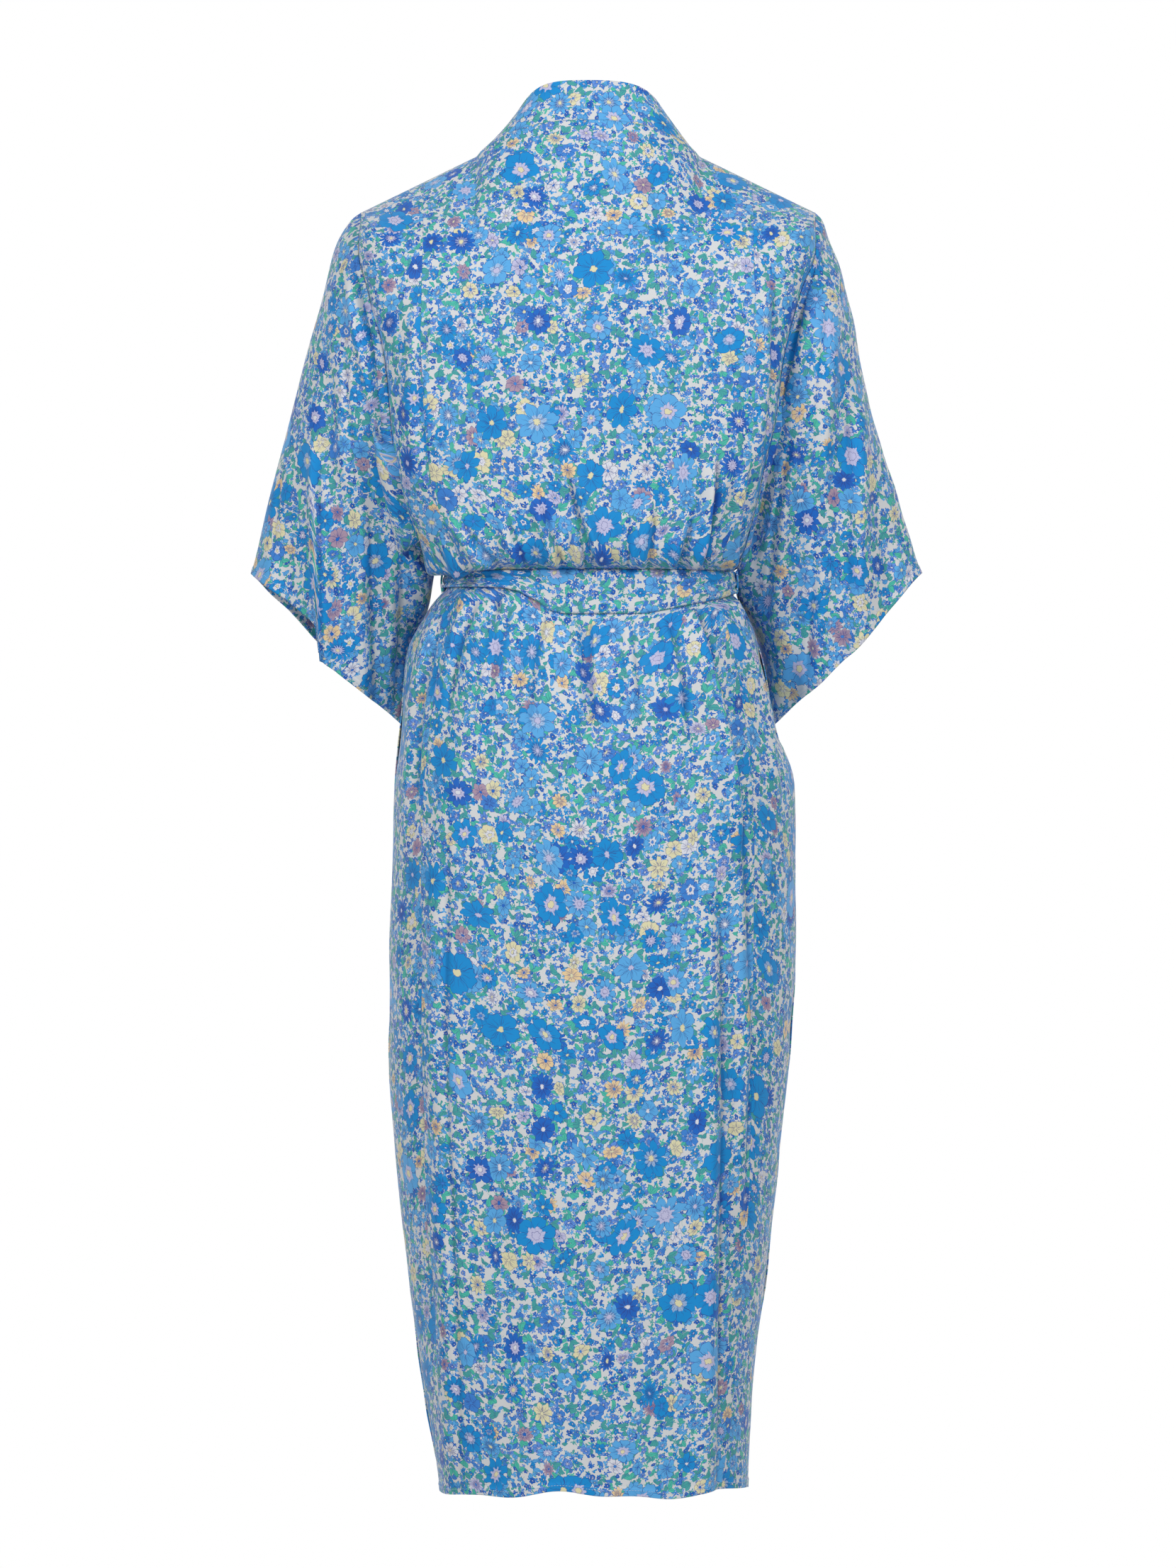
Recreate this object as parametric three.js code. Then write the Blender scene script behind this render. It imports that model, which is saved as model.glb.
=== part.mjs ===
// A belted wrap kaftan in printed viscose, holding the shape of the figure that wears it.
import * as THREE from 'three';

// Driving sizes in millimetres. +Z is up, the back faces +Y and the wearer's left side is +X.
// The origin lies midway between the shoulders, where the garment is held.
const HEM_Z = -1174;
const NECK_HALF = 100;
const NECK_Z = 27;
const NAPE_RISE = 29;
const NAPE_DEPTH = 58;
const SHOULDER_HALF = 205;
const SHOULDER_Z = -24;
const CREST_Y = -2;
const LEVEL_Z = -150;
const PANEL_HALF = 148;
const UNDERARM_Z = -344;
const ARMHOLE_DEPTH = 68;
const BELT_TOP_Z = -348.5;
const BELT_LOW_Z = -387;
const BELT_SIDE_RISE = 19;
const BAND_WIDTH = 40;
const CLOTH = 1.6;
const BAND_CLOTH = 2;
const SEAM = 0.3;
const BAND_SEAM = 0.45;
const UNDERLAP = 5;
const SQUARE = 2.4;
const CENTRE_SHARE = 0.7;

// The body from the shoulder down: half widths to the wearer's left and right, and the depths.
// Above the underarm the half widths follow the armhole crease.
const BODY = [
  { z: 60, left: 205, right: 205, back: 84, front: 70 },
  { z: -24, left: 205, right: 205, back: 98, front: 84 },
  { z: -60, left: 206, right: 204, back: 104, front: 90 },
  { z: -100, left: 197, right: 191, back: 112, front: 97 },
  { z: -150, left: 185, right: 177, back: 119, front: 104 },
  { z: -230, left: 174, right: 164, back: 124, front: 111 },
  { z: -290, left: 163, right: 151, back: 125, front: 113 },
  { z: -325, left: 151, right: 143, back: 123, front: 112 },
  { z: -338, left: 144, right: 139, back: 118, front: 109 },
  { z: -344, left: 138, right: 137, back: 111, front: 105 },
  { z: -347, left: 128, right: 131, back: 101, front: 99 },
  { z: -368, left: 126, right: 130, back: 99, front: 97 },
  { z: -388, left: 128, right: 131, back: 101, front: 99 },
  { z: -391, left: 132, right: 134, back: 104, front: 102 },
  { z: -408, left: 146, right: 144, back: 111, front: 106 },
  { z: -440, left: 163, right: 158, back: 123, front: 113 },
  { z: -484, left: 168, right: 168, back: 132, front: 118 },
  { z: -542, left: 174, right: 186, back: 138, front: 123 },
  { z: -600, left: 176, right: 188, back: 140, front: 125 },
  { z: -715, left: 178, right: 187, back: 139, front: 125 },
  { z: -773, left: 179, right: 183, back: 137, front: 124 },
  { z: -869, left: 174, right: 173, back: 132, front: 121 },
  { z: -984, left: 162, right: 161, back: 125, front: 117 },
  { z: -1100, left: 146, right: 147, back: 119, front: 112 },
  { z: -1174, left: 132, right: 144, back: 115, front: 109 },
];

// Half the width of the centre back panel, and where each front meets its band.
// A band seam past the middle of the front has a negative place.
const SEAMS = [
  { z: 60, panel: PANEL_HALF, edge: 100 },
  { z: 27, panel: PANEL_HALF, edge: 100 },
  { z: -50, panel: PANEL_HALF, edge: 83 },
  { z: -150, panel: PANEL_HALF, edge: 54 },
  { z: -250, panel: 143, edge: 23 },
  { z: -325, panel: 122, edge: -3 },
  { z: -347, panel: 104, edge: -10 },
  { z: -388, panel: 104, edge: -22 },
  { z: -400, panel: 118, edge: -26 },
  { z: -472, panel: 138, edge: -43 },
  { z: -560, panel: 147, edge: -53 },
  { z: -715, panel: PANEL_HALF, edge: -62 },
  { z: -869, panel: 146, edge: -62 },
  { z: -984, panel: 139, edge: -60 },
  { z: -1100, panel: 129, edge: -57 },
  { z: -1174, panel: 119, edge: -55 },
];

// A sleeve from the armhole to the cuff: its top line, its underarm line and its half depths.
const SLEEVE = [
  { t: 0, left: 205, right: 205, topZ: -24, topY: -2, low: 137.5, lowZ: -344, lowY: 0, deep: 68 },
  { t: 0.07, left: 213, right: 211, topZ: -30, topY: -2, low: 143, lowZ: -356, lowY: -3, deep: 76 },
  { t: 0.16, left: 222, right: 217, topZ: -44, topY: -3, low: 148, lowZ: -371, lowY: -10, deep: 82 },
  { t: 0.3, left: 234, right: 229, topZ: -79, topY: -5, low: 156, lowZ: -392, lowY: -19, deep: 83 },
  { t: 0.45, left: 248, right: 240, topZ: -124, topY: -9, low: 162, lowZ: -412, lowY: -27, deep: 79 },
  { t: 0.6, left: 262, right: 250, topZ: -178, topY: -14, low: 167, lowZ: -433, lowY: -34, deep: 73 },
  { t: 0.8, left: 282, right: 274, topZ: -260, topY: -21, low: 171.5, lowZ: -460, lowY: -40, deep: 64 },
  { t: 1, left: 303, right: 302, topZ: -349, topY: -28, low: 175, lowZ: -486, lowY: -45, deep: 54 },
];

// Folds as ridges or troughs between two places. The widths are those towards +X and -X.
const BACK_FOLDS = [
  { x0: 124, z0: -292, x1: 86, z1: -350, plus: 15, minus: 8, lift: 5 },
  { x0: 54, z0: -280, x1: 30, z1: -350, plus: 11, minus: 13, lift: 4 },
  { x0: 20, z0: -240, x1: -14, z1: -350, plus: 9, minus: 14, lift: 4.5 },
  { x0: -122, z0: -250, x1: -98, z1: -350, plus: 13, minus: 9, lift: 6 },
  { x0: 146, z0: -70, x1: 166, z1: -290, plus: 16, minus: 22, lift: 4 },
  { x0: -150, z0: -60, x1: -146, z1: -290, plus: 22, minus: 14, lift: 4 },
  { x0: -40, z0: 20, x1: -62, z1: -210, plus: 30, minus: 30, lift: 2.5 },
  { x0: -93, z0: -375, x1: -140, z1: -620, plus: 17, minus: 9, lift: 9 },
  { x0: 3, z0: -375, x1: -2, z1: -540, plus: 12, minus: 12, lift: -4 },
  { x0: 92, z0: -375, x1: 128, z1: -640, plus: 14, minus: 18, lift: 5 },
  { x0: 127, z0: -560, x1: 112, z1: -1400, plus: 14, minus: 17, lift: 5 },
  { x0: -108, z0: -620, x1: -98, z1: -1400, plus: 15, minus: 12, lift: 4.5 },
  { x0: 58, z0: -760, x1: 40, z1: -1400, plus: 20, minus: 20, lift: 4 },
  { x0: -30, z0: -820, x1: -34, z1: -1400, plus: 22, minus: 18, lift: 3.5 },
];
const FRONT_FOLDS = [
  { x0: 128, z0: -262, x1: 92, z1: -350, plus: 12, minus: 12, lift: 5 },
  { x0: -132, z0: -250, x1: -94, z1: -350, plus: 12, minus: 12, lift: 5.5 },
  { x0: 86, z0: -250, x1: 60, z1: -350, plus: 12, minus: 12, lift: 4 },
  { x0: -96, z0: -240, x1: -58, z1: -350, plus: 12, minus: 12, lift: 4.5 },
  { x0: -84, z0: -375, x1: -118, z1: -640, plus: 14, minus: 14, lift: 6 },
  { x0: -40, z0: -375, x1: -56, z1: -700, plus: 15, minus: 15, lift: 4 },
  { x0: 104, z0: -375, x1: 132, z1: -600, plus: 14, minus: 14, lift: 5 },
  { x0: -112, z0: -640, x1: -100, z1: -1400, plus: 16, minus: 16, lift: 4.5 },
  { x0: -28, z0: -760, x1: -20, z1: -1400, plus: 20, minus: 20, lift: 4 },
];
const SLEEVE_FOLDS = [
  { x0: 240, z0: -150, x1: 243, z1: -560, plus: 16, minus: 8, lift: 7 },
  { x0: 216, z0: -70, x1: 205, z1: -330, plus: 14, minus: 14, lift: 5 },
  { x0: 196, z0: -220, x1: 182, z1: -560, plus: 10, minus: 12, lift: -5 },
  { x0: 268, z0: -240, x1: 276, z1: -560, plus: 12, minus: 14, lift: -4 },
];

// The gathers at the belt: the place on it, how far each runs up and down, and the lean of its ends.
const BACK_GATHERS = [
  { x: 108, width: 9, lift: 3.5, up: 60, down: 50, lean: 18 },
  { x: 62, width: 10, lift: 4, up: 70, down: 70, lean: 13 },
  { x: 8, width: 9, lift: 3, up: 60, down: 60, lean: 2 },
  { x: -40, width: 10, lift: 4, up: 85, down: 66, lean: -8 },
  { x: -70, width: 9, lift: 3.5, up: 60, down: 74, lean: -14 },
  { x: -116, width: 8, lift: 4, up: 74, down: 50, lean: -16 },
];
const FRONT_GATHERS = [
  { x: 112, width: 9, lift: 3.5, up: 60, down: 58, lean: 16 },
  { x: 74, width: 10, lift: 4, up: 72, down: 80, lean: 12 },
  { x: -72, width: 10, lift: 4, up: 66, down: 88, lean: -12 },
  { x: -112, width: 9, lift: 3.5, up: 70, down: 60, lean: -18 },
];

// The wave of the hem, in height, round the body.
const HEM_WAVES = [
  { length: 160, rise: 2.6, shift: 20 },
  { length: 71, rise: 1.6, shift: -11 },
];

const BELT = { grow: 0.5, cloth: 2.2, columns: 52 };
const KNOT = { x: 26, z: -368, half: 21, tall: 17, deep: 10.5 };
const TAILS = [
  { name: 'belt_tail_left', top: 36.5, foot: 72, half: 17, length: 330 },
  { name: 'belt_tail_right', top: 15.5, foot: -22, half: 17, length: 290 },
];
const TAIL_CLEAR = 1.1;
const FULL_DROP = 200;
const CARRIER = { y: 15, half: 4, cloth: 1.4 };

const clamp = (x) => Math.min(1, Math.max(0, x));
const mix = (a, b, t) => a + (b - a) * t;

function smooth(a, b, x) {
  const t = clamp((x - a) / (b - a));
  return t * t * (3 - 2 * t);
}

// A smooth curve through one column of a table, with no overshoot between its rows.
function track(rows, column, along = 'z') {
  const up = rows[0][along] < rows[rows.length - 1][along] ? rows : [...rows].reverse();
  const at = up.map((row) => row[along]);
  const value = up.map((row) => row[column]);
  const last = at.length - 1;
  const rise = at.slice(1).map((x, i) => (value[i + 1] - value[i]) / (x - at[i]));
  const slope = value.map((_, i) => {
    if (i === 0) return rise[0];
    if (i === last) return rise[last - 1];
    if (rise[i - 1] * rise[i] <= 0) return 0;
    return (2 * rise[i - 1] * rise[i]) / (rise[i - 1] + rise[i]);
  });
  return (x) => {
    if (x <= at[0]) return value[0];
    if (x >= at[last]) return value[last];
    let i = 0;
    while (at[i + 1] < x) i += 1;
    const step = at[i + 1] - at[i];
    const t = (x - at[i]) / step;
    const keep = (1 + 2 * t) * (1 - t) ** 2 * value[i] + t * t * (3 - 2 * t) * value[i + 1];
    return keep + step * (t * (1 - t) ** 2 * slope[i] + t * t * (t - 1) * slope[i + 1]);
  };
}

const bodyHalf = { 1: track(BODY, 'left'), '-1': track(BODY, 'right') };
const bodyDepth = { 1: track(BODY, 'back'), '-1': track(BODY, 'front') };
const panelHalf = track(SEAMS, 'panel');
const bandSeam = track(SEAMS, 'edge');

// How far the armhole opens to the back or front at a height.
function armholeDepth(z) {
  const middle = (SHOULDER_Z + UNDERARM_Z) / 2;
  const half = (SHOULDER_Z - UNDERARM_Z) / 2;
  const s = (z - middle) / half;
  return Math.abs(s) < 1 ? ARMHOLE_DEPTH * Math.sqrt(1 - s * s) : 0;
}

// The height and the place of the shoulder seam, and of the back neck seam inside it.
function crestHeight(face, x) {
  const slope = (SHOULDER_Z - NECK_Z) / (SHOULDER_HALF - NECK_HALF);
  if (x >= NECK_HALF) return NECK_Z + (x - NECK_HALF) * slope;
  if (face < 0) return NECK_Z;
  return NECK_Z + NAPE_RISE * (1 - (x / NECK_HALF) ** 2.4) ** 0.8;
}

function crestPlace(face, x) {
  const seam = CREST_Y + (face * SEAM) / 2;
  if (face < 0 || x >= NECK_HALF) return seam;
  return seam + NAPE_DEPTH * (1 - (x / NECK_HALF) ** 2.4) ** 0.65;
}

// How fully the cloth has rounded over from the shoulder, from 0 on the seam to 1.
function roundOver(drop, x) {
  const outer = smooth(40, 150, x);
  const s = clamp(drop / mix(mix(170, 78, outer), 26, smooth(150, SHOULDER_HALF, x)));
  const soft = Math.sin((Math.PI / 2) * s);
  const round = Math.sqrt(1 - (1 - s) ** 2);
  return mix(soft, round, 0.65 * outer);
}

function foldLift(folds, x, z) {
  let lift = 0;
  for (const fold of folds) {
    const dx = fold.x1 - fold.x0;
    const dz = fold.z1 - fold.z0;
    const length = Math.hypot(dx, dz);
    const t = ((x - fold.x0) * dx + (z - fold.z0) * dz) / length ** 2;
    const off = ((x - fold.x0) * -dz + (z - fold.z0) * dx) / length;
    const fade = smooth(-0.05, 0.3, t) * smooth(1.05, 0.75, t);
    const width = off > 0 ? fold.plus : fold.minus;
    lift += fold.lift * fade * Math.exp(-((off / width) ** 2));
  }
  return lift;
}

function gatherLift(gathers, x, z) {
  const middle = (BELT_TOP_Z + BELT_LOW_Z) / 2;
  const from = Math.abs(z - middle) - (BELT_TOP_Z - BELT_LOW_Z) / 2;
  let lift = 0;
  for (const gather of gathers) {
    const run = clamp(from / (z > middle ? gather.up : gather.down));
    const centre = gather.x + gather.lean * run;
    const fade = smooth(1, 0.15, run);
    lift += gather.lift * fade * Math.exp(-(((x - centre) / gather.width) ** 2));
  }
  return lift;
}

// The relief of the body cloth, still under the belt and at the shoulder and neck seams.
function bodyLift(face, x, z, drop) {
  const folds = foldLift(face > 0 ? BACK_FOLDS : FRONT_FOLDS, x, z);
  const gathers = gatherLift(face > 0 ? BACK_GATHERS : FRONT_GATHERS, x, z);
  const above = smooth(BELT_TOP_Z + 3, BELT_TOP_Z + 16, z);
  const below = smooth(BELT_LOW_Z - 3, BELT_LOW_Z - 20, z);
  return (folds + gathers) * (above + below) * smooth(0, 60, drop);
}

function hemRise(x, face) {
  let rise = 0;
  for (const wave of HEM_WAVES) {
    rise += wave.rise * Math.sin((2 * Math.PI * (x * face + wave.shift)) / wave.length);
  }
  return rise;
}

// The belt is bunched narrower at the sides, where the skirt starts higher.
function waistRise(x) {
  return BELT_SIDE_RISE * smooth(45, 130, Math.abs(x));
}

// A point of the body cloth. x and z place it, and share says how near it is to the side seam.
function bodyPoint(face, x, z, share) {
  const side = x < 0 ? -1 : 1;
  const ax = Math.abs(x);
  const half = bodyHalf[side](z);
  const edge = armholeDepth(z) + SEAM / 2;
  const full = bodyDepth[face](z);
  const reach = 1 - Math.min(1, ax / half) ** SQUARE;
  const section = edge + (full - edge) * Math.sign(share) * reach ** (1 / SQUARE);
  const drop = crestHeight(face, ax) - z;
  const crest = crestPlace(face, ax);
  const y = crest + (face * section - crest) * roundOver(drop, ax);
  const low = smooth(HEM_Z + 130, HEM_Z, z);
  const waist = smooth(BELT_TOP_Z, BELT_LOW_Z, z) * smooth(BELT_LOW_Z - 130, BELT_LOW_Z - 10, z);
  return new THREE.Vector3(x, y, z + hemRise(x, face) * low + waistRise(x) * waist);
}

// The across place of a column: linear in the middle of a panel and by angle near its side edge.
function acrossPlace(side, z, inner, joint, q) {
  const half = bodyHalf[side](z);
  if (q <= CENTRE_SHARE) return { x: mix(inner, joint, q / CENTRE_SHARE), share: 1 };
  const start = Math.asin((joint / half) ** (SQUARE / 2));
  const angle = mix(start, Math.PI / 2, (q - CENTRE_SHARE) / (1 - CENTRE_SHARE));
  return { x: half * Math.sin(angle) ** (2 / SQUARE), share: Math.cos(angle) >= 0 ? 1 : -1 };
}

// Heights of the rows. Above LEVEL_Z they fan out from the shoulder and neck seams.
const FAN = [0, 0.06, 0.17, 0.33, 0.53, 0.76, 1];
const LEVELS = [-190, -230, -264, -292, -316, -332, -344, -347, -368, -388, -391, -408, -430, -462,
  -505, -560, -630, -705, -785, -865, -945, -1022, -1090, -1140];

// A row is its fan share, from 0 to 1, or past 1 a level height.
const ROWS = [
  ...FAN.map((fan) => ({ fan, z: LEVEL_Z })),
  ...LEVELS.map((z) => ({ fan: 1, z })),
  { fan: 1, z: HEM_Z },
];
const ARMHOLE_ROWS = ROWS.filter((row) => row.z >= UNDERARM_Z);

function rowHeight(row, crest) {
  return row.fan < 1 ? mix(crest, LEVEL_Z, row.fan) : row.z;
}

// The body surface at a column q from the middle (0) to the side (1), before relief.
function basePoint(panel, q, row) {
  const { face, side, overlap } = panel;
  const topInner = overlap ? NECK_HALF : 0;
  const top = acrossPlace(side, NECK_Z, topInner, panelHalf(NECK_Z), Math.max(q, 0));
  const z = rowHeight(row, crestHeight(face, Math.min(top.x, SHOULDER_HALF)));
  const inner = overlap ? bandSeam(z) : 0;
  const joint = overlap ? bodyHalf[side](z) * 0.72 : panelHalf(z);
  const place = acrossPlace(side, z, inner, joint, q);
  return bodyPoint(face, side * place.x, z, place.share);
}

// The body surface with its relief. The under front lies inside the over front.
function clothPoint(panel, q, row, step = 0.004) {
  const here = basePoint(panel, q, row);
  const normal = surfaceNormal((a, b) => basePoint(panel, a, b), q, row, panel.turn, step);
  const crest = crestHeight(panel.face, Math.abs(here.x));
  let lift = bodyLift(panel.face, here.x, here.z, crest - here.z);
  if (panel.under) {
    lift -= UNDERLAP * smooth(0.95, 0.62, q) * smooth(-20, -130, here.z);
  }
  return here.addScaledVector(normal, lift);
}

function shiftRow(row, by) {
  if (row.fan < 1 || (row.z >= LEVEL_Z && by < 0)) return { fan: row.fan + by / 180, z: LEVEL_Z };
  return { fan: 1, z: row.z - by };
}

// The outward normal from small steps along and across the surface.
function surfaceNormal(surface, q, row, turn, step = 0.004) {
  const before = row.fan <= 0 ? row : shiftRow(row, -0.4);
  const after = shiftRow(row, 0.4);
  const across = surface(q + step, row).sub(surface(q - step, row));
  const along = surface(q, after).sub(surface(q, before));
  return across.cross(along).multiplyScalar(turn).normalize();
}

// A closed wall from a grid of outer points and their normals.
function wallGeometry(points, normals, thickness, closed = false) {
  const rows = points.length;
  const columns = points[0].length;
  const position = [];
  for (const depth of [0, thickness]) {
    points.forEach((line, i) => line.forEach((point, j) => {
      const moved = point.clone().addScaledVector(normals[i][j], -depth);
      position.push(moved.x, moved.y, moved.z);
    }));
  }
  const at = (layer, i, j) => layer * rows * columns + i * columns + (j % columns);
  const index = [];
  const quad = (a, b, c, d) => index.push(a, b, c, a, c, d);
  const across = closed ? columns : columns - 1;
  for (let i = 0; i < rows - 1; i += 1) {
    for (let j = 0; j < across; j += 1) {
      quad(at(0, i, j), at(0, i + 1, j), at(0, i + 1, j + 1), at(0, i, j + 1));
      quad(at(1, i, j), at(1, i, j + 1), at(1, i + 1, j + 1), at(1, i + 1, j));
    }
  }
  for (let j = 0; j < across; j += 1) {
    quad(at(0, 0, j), at(0, 0, j + 1), at(1, 0, j + 1), at(1, 0, j));
    quad(at(0, rows - 1, j), at(1, rows - 1, j), at(1, rows - 1, j + 1), at(0, rows - 1, j + 1));
  }
  for (let i = 0; i < rows - 1 && !closed; i += 1) {
    quad(at(0, i, 0), at(1, i, 0), at(1, i + 1, 0), at(0, i + 1, 0));
    const end = columns - 1;
    quad(at(0, i, end), at(0, i + 1, end), at(1, i + 1, end), at(1, i, end));
  }
  return outward(position, index);
}

// A geometry with its faces turned outward, whichever way the grid ran.
function outward(position, index) {
  const geometry = new THREE.BufferGeometry();
  geometry.setAttribute('position', new THREE.Float32BufferAttribute(position, 3));
  const corner = (i) => new THREE.Vector3().fromArray(position, index[i] * 3);
  let volume = 0;
  for (let i = 0; i < index.length; i += 3) {
    volume += corner(i).dot(corner(i + 1).cross(corner(i + 2)));
  }
  const turned = volume > 0 ? index : [...index].reverse();
  geometry.setIndex(turned);
  geometry.computeVertexNormals();
  return geometry;
}

// Normals of a grid from its neighbours, for pieces that no formula continues.
function gridNormals(points, turn, closed = false) {
  const rows = points.length;
  const columns = points[0].length;
  const near = (j) => (closed ? (j + columns) % columns : Math.min(columns - 1, Math.max(0, j)));
  return points.map((line, i) => line.map((_, j) => {
    const up = points[Math.max(0, i - 1)][j];
    const down = points[Math.min(rows - 1, i + 1)][j];
    const across = line[near(j + 1)].clone().sub(line[near(j - 1)]);
    return across.cross(down.clone().sub(up)).multiplyScalar(turn).normalize();
  }));
}

function steps(from, to, count) {
  return Array.from({ length: count + 1 }, (_, i) => mix(from, to, i / count));
}

// A body panel between two columns, its shoulder edge cut square to the seam.
function panelGeometry(panel, columns) {
  const points = [];
  const normals = [];
  for (const row of ROWS) {
    const line = columns.map(({ side, q }) => clothPoint({ ...panel, side, turn: panel.turn * side }, q, row));
    const facing = columns.map(({ side, q }, j) => {
      const own = { ...panel, side, turn: panel.turn * side };
      const normal = surfaceNormal((a, b) => clothPoint(own, a, b, 0.003), q, row, own.turn);
      if (row.fan === 0 && Math.abs(line[j].x) >= NECK_HALF - 1) normal.setY(0).normalize();
      return normal;
    });
    points.push(line);
    normals.push(facing);
  }
  return wallGeometry(points, normals, CLOTH);
}

const BACK = { face: 1, turn: 1 };
const FRONT = { face: -1, turn: -1, overlap: true };
const seamShare = (CENTRE_SHARE * SEAM) / 2 / PANEL_HALF;
const neckShare = (CENTRE_SHARE * NECK_HALF) / PANEL_HALF;

// Columns of the centre back, with one on each end of the neck seam.
function centreColumns() {
  const neck = steps(0, neckShare, 8);
  const outer = steps(neckShare, CENTRE_SHARE - seamShare, 4).slice(1);
  const half = [...neck, ...outer];
  const right = half.slice(1).reverse().map((q) => ({ side: -1, q }));
  return [...right, ...half.map((q) => ({ side: 1, q }))];
}

function sideColumns(side) {
  return steps(CENTRE_SHARE + seamShare, 1, 7).map((q) => ({ side, q }));
}

function frontColumns(side) {
  const flat = steps(0, CENTRE_SHARE, 11);
  const round = steps(CENTRE_SHARE, 1, 6).slice(1);
  return [...flat, ...round].map((q) => ({ side, q }));
}

// The sleeve surface: t runs from the armhole to the cuff and the angle round from its top line.
const sleeveTrack = Object.fromEntries(
  ['left', 'right', 'topZ', 'topY', 'low', 'lowZ', 'lowY', 'deep'].map((c) => [c, track(SLEEVE, c, 't')]),
);

function sleevePoint(side, t, angle) {
  const bare = bareSleevePoint(side, t, angle);
  const join = smooth(0.2, 0, t);
  if (join === 0) return bare;
  const start = armholeEdge(side, angle);
  start.x += side * SEAM;
  return bare.addScaledVector(start.sub(bareSleevePoint(side, 0, angle)), join);
}

function bareSleevePoint(side, t, angle) {
  const read = (column) => sleeveTrack[column](t);
  const top = new THREE.Vector3(read(side > 0 ? 'left' : 'right'), read('topY'), read('topZ'));
  const low = new THREE.Vector3(read('low'), read('lowY'), read('lowZ'));
  const point = top.clone().add(low).multiplyScalar(0.5);
  point.addScaledVector(top.sub(low), 0.5 * Math.cos(angle));
  point.y += read('deep') * Math.sin(angle);
  point.x *= side;
  return point;
}

// The body's own edge at an angle round the armhole.
function armholeEdge(side, angle) {
  const base = Math.sin(angle) >= 0 ? BACK : FRONT;
  const z = mix(UNDERARM_Z, SHOULDER_Z, 0.5 + 0.5 * Math.cos(angle));
  const fan = (SHOULDER_Z - z) / (SHOULDER_Z - LEVEL_Z);
  const row = fan < 1 ? { fan, z: LEVEL_Z } : { fan: 1, z };
  return clothPoint({ ...base, side, turn: base.turn * side }, 1, row);
}

function sleeveCloth(side, t, angle) {
  const base = (a, b) => sleevePoint(side, clamp(a), b);
  const here = base(t, angle);
  const back = Math.sin(angle);
  const lift = foldLift(SLEEVE_FOLDS, Math.abs(here.x), here.z) * smooth(0.1, 0.6, Math.abs(back));
  return here.addScaledVector(sleeveNormal(base, side, t, angle), lift * smooth(0.02, 0.2, t));
}

function sleeveNormal(surface, side, t, angle) {
  const along = surface(Math.min(1, t + 0.004), angle).sub(surface(Math.max(0, t - 0.004), angle));
  const round = surface(t, angle + 0.01).sub(surface(t, angle - 0.01));
  const normal = along.cross(round).multiplyScalar(side);
  if (t === 0) normal.x = side * Math.min(0, side * normal.x);
  return normal.normalize();
}

// A ring has a point on each body row of the armhole, so that the seam meets point for point.
function sleeveAngles() {
  const middle = (SHOULDER_Z + UNDERARM_Z) / 2;
  const half = (SHOULDER_Z - UNDERARM_Z) / 2;
  const down = ARMHOLE_ROWS.map((row) => {
    const cosine = (rowHeight(row, SHOULDER_Z) - middle) / half;
    return Math.acos(Math.min(1, Math.max(-1, cosine)));
  });
  const front = down.slice(1, -1).reverse().map((angle) => 2 * Math.PI - angle);
  return [...down, ...front];
}

function sleeveGeometry(side) {
  const angles = sleeveAngles();
  const rings = [0, 0.035, 0.09, 0.17, 0.28, 0.41, 0.55, 0.7, 0.85, 1];
  const points = rings.map((t) => angles.map((angle) => sleeveCloth(side, t, angle)));
  const cloth = (a, b) => sleeveCloth(side, a, b);
  const normals = rings.map((t) => angles.map((angle) => sleeveNormal(cloth, side, t, angle)));
  return wallGeometry(points, normals, CLOTH, true);
}

// The way the band stands up from the neck seam, from the nape (0) to the side of the neck (1).
function neckLean(side, share) {
  const nape = new THREE.Vector3(0, -0.19, 0.98);
  const neck = new THREE.Vector3(-0.64 * side, -0.1, 0.76);
  return nape.lerp(neck, share * share).normalize();
}

// A point of the neckband at a distance from its seam, on a front edge or round the nape.
function bandPoint(station, width) {
  if (station.nape) {
    const x = station.side * station.x;
    const q = (CENTRE_SHARE * station.x) / panelHalf(NECK_Z);
    const edge = clothPoint({ ...BACK, side: station.side, turn: station.side }, q, ROWS[0]);
    return edge.addScaledVector(neckLean(Math.sign(x) || 1, station.x / NECK_HALF), width);
  }
  const { side, row } = station;
  const panel = { ...FRONT, side, turn: -side, under: side > 0 };
  const edge = clothPoint(panel, 0, row);
  const stand = smooth(-70, NECK_Z, edge.z);
  const span = bodyHalf[side](edge.z) * 0.72 - bandSeam(edge.z);
  const beyond = clothPoint(panel, (-width * CENTRE_SHARE) / span, row);
  const lean = edge.addScaledVector(neckLean(side, 1), width);
  return beyond.lerp(lean, stand);
}

function bandStations() {
  const front = (side) => ROWS.slice(1).map((row) => ({ side, row }));
  const nape = steps(0, NECK_HALF, 8).map((x) => ({ nape: true, x }));
  const left = [...nape].reverse().map((s) => ({ ...s, side: 1 }));
  const right = nape.slice(1).map((s) => ({ ...s, side: -1 }));
  return [...front(1).reverse(), ...left, ...right, ...front(-1)];
}

function neckbandGeometry() {
  const widths = [BAND_SEAM, BAND_WIDTH / 2, BAND_WIDTH];
  const stations = bandStations();
  const points = stations.map((station) => widths.map((width) => bandPoint(station, width)));
  const normals = gridNormals(points, -1);
  stations.forEach(({ nape, side, row }, i) => {
    if (nape) return;
    const panel = { ...FRONT, side, turn: -side, under: side > 0 };
    const seam = surfaceNormal((a, b) => clothPoint(panel, a, b, 0.003), 0, row, panel.turn);
    normals[i][0].lerp(seam, smooth(NECK_Z, -40, points[i][0].z)).normalize();
  });
  return wallGeometry(points, normals, BAND_CLOTH);
}

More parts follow.
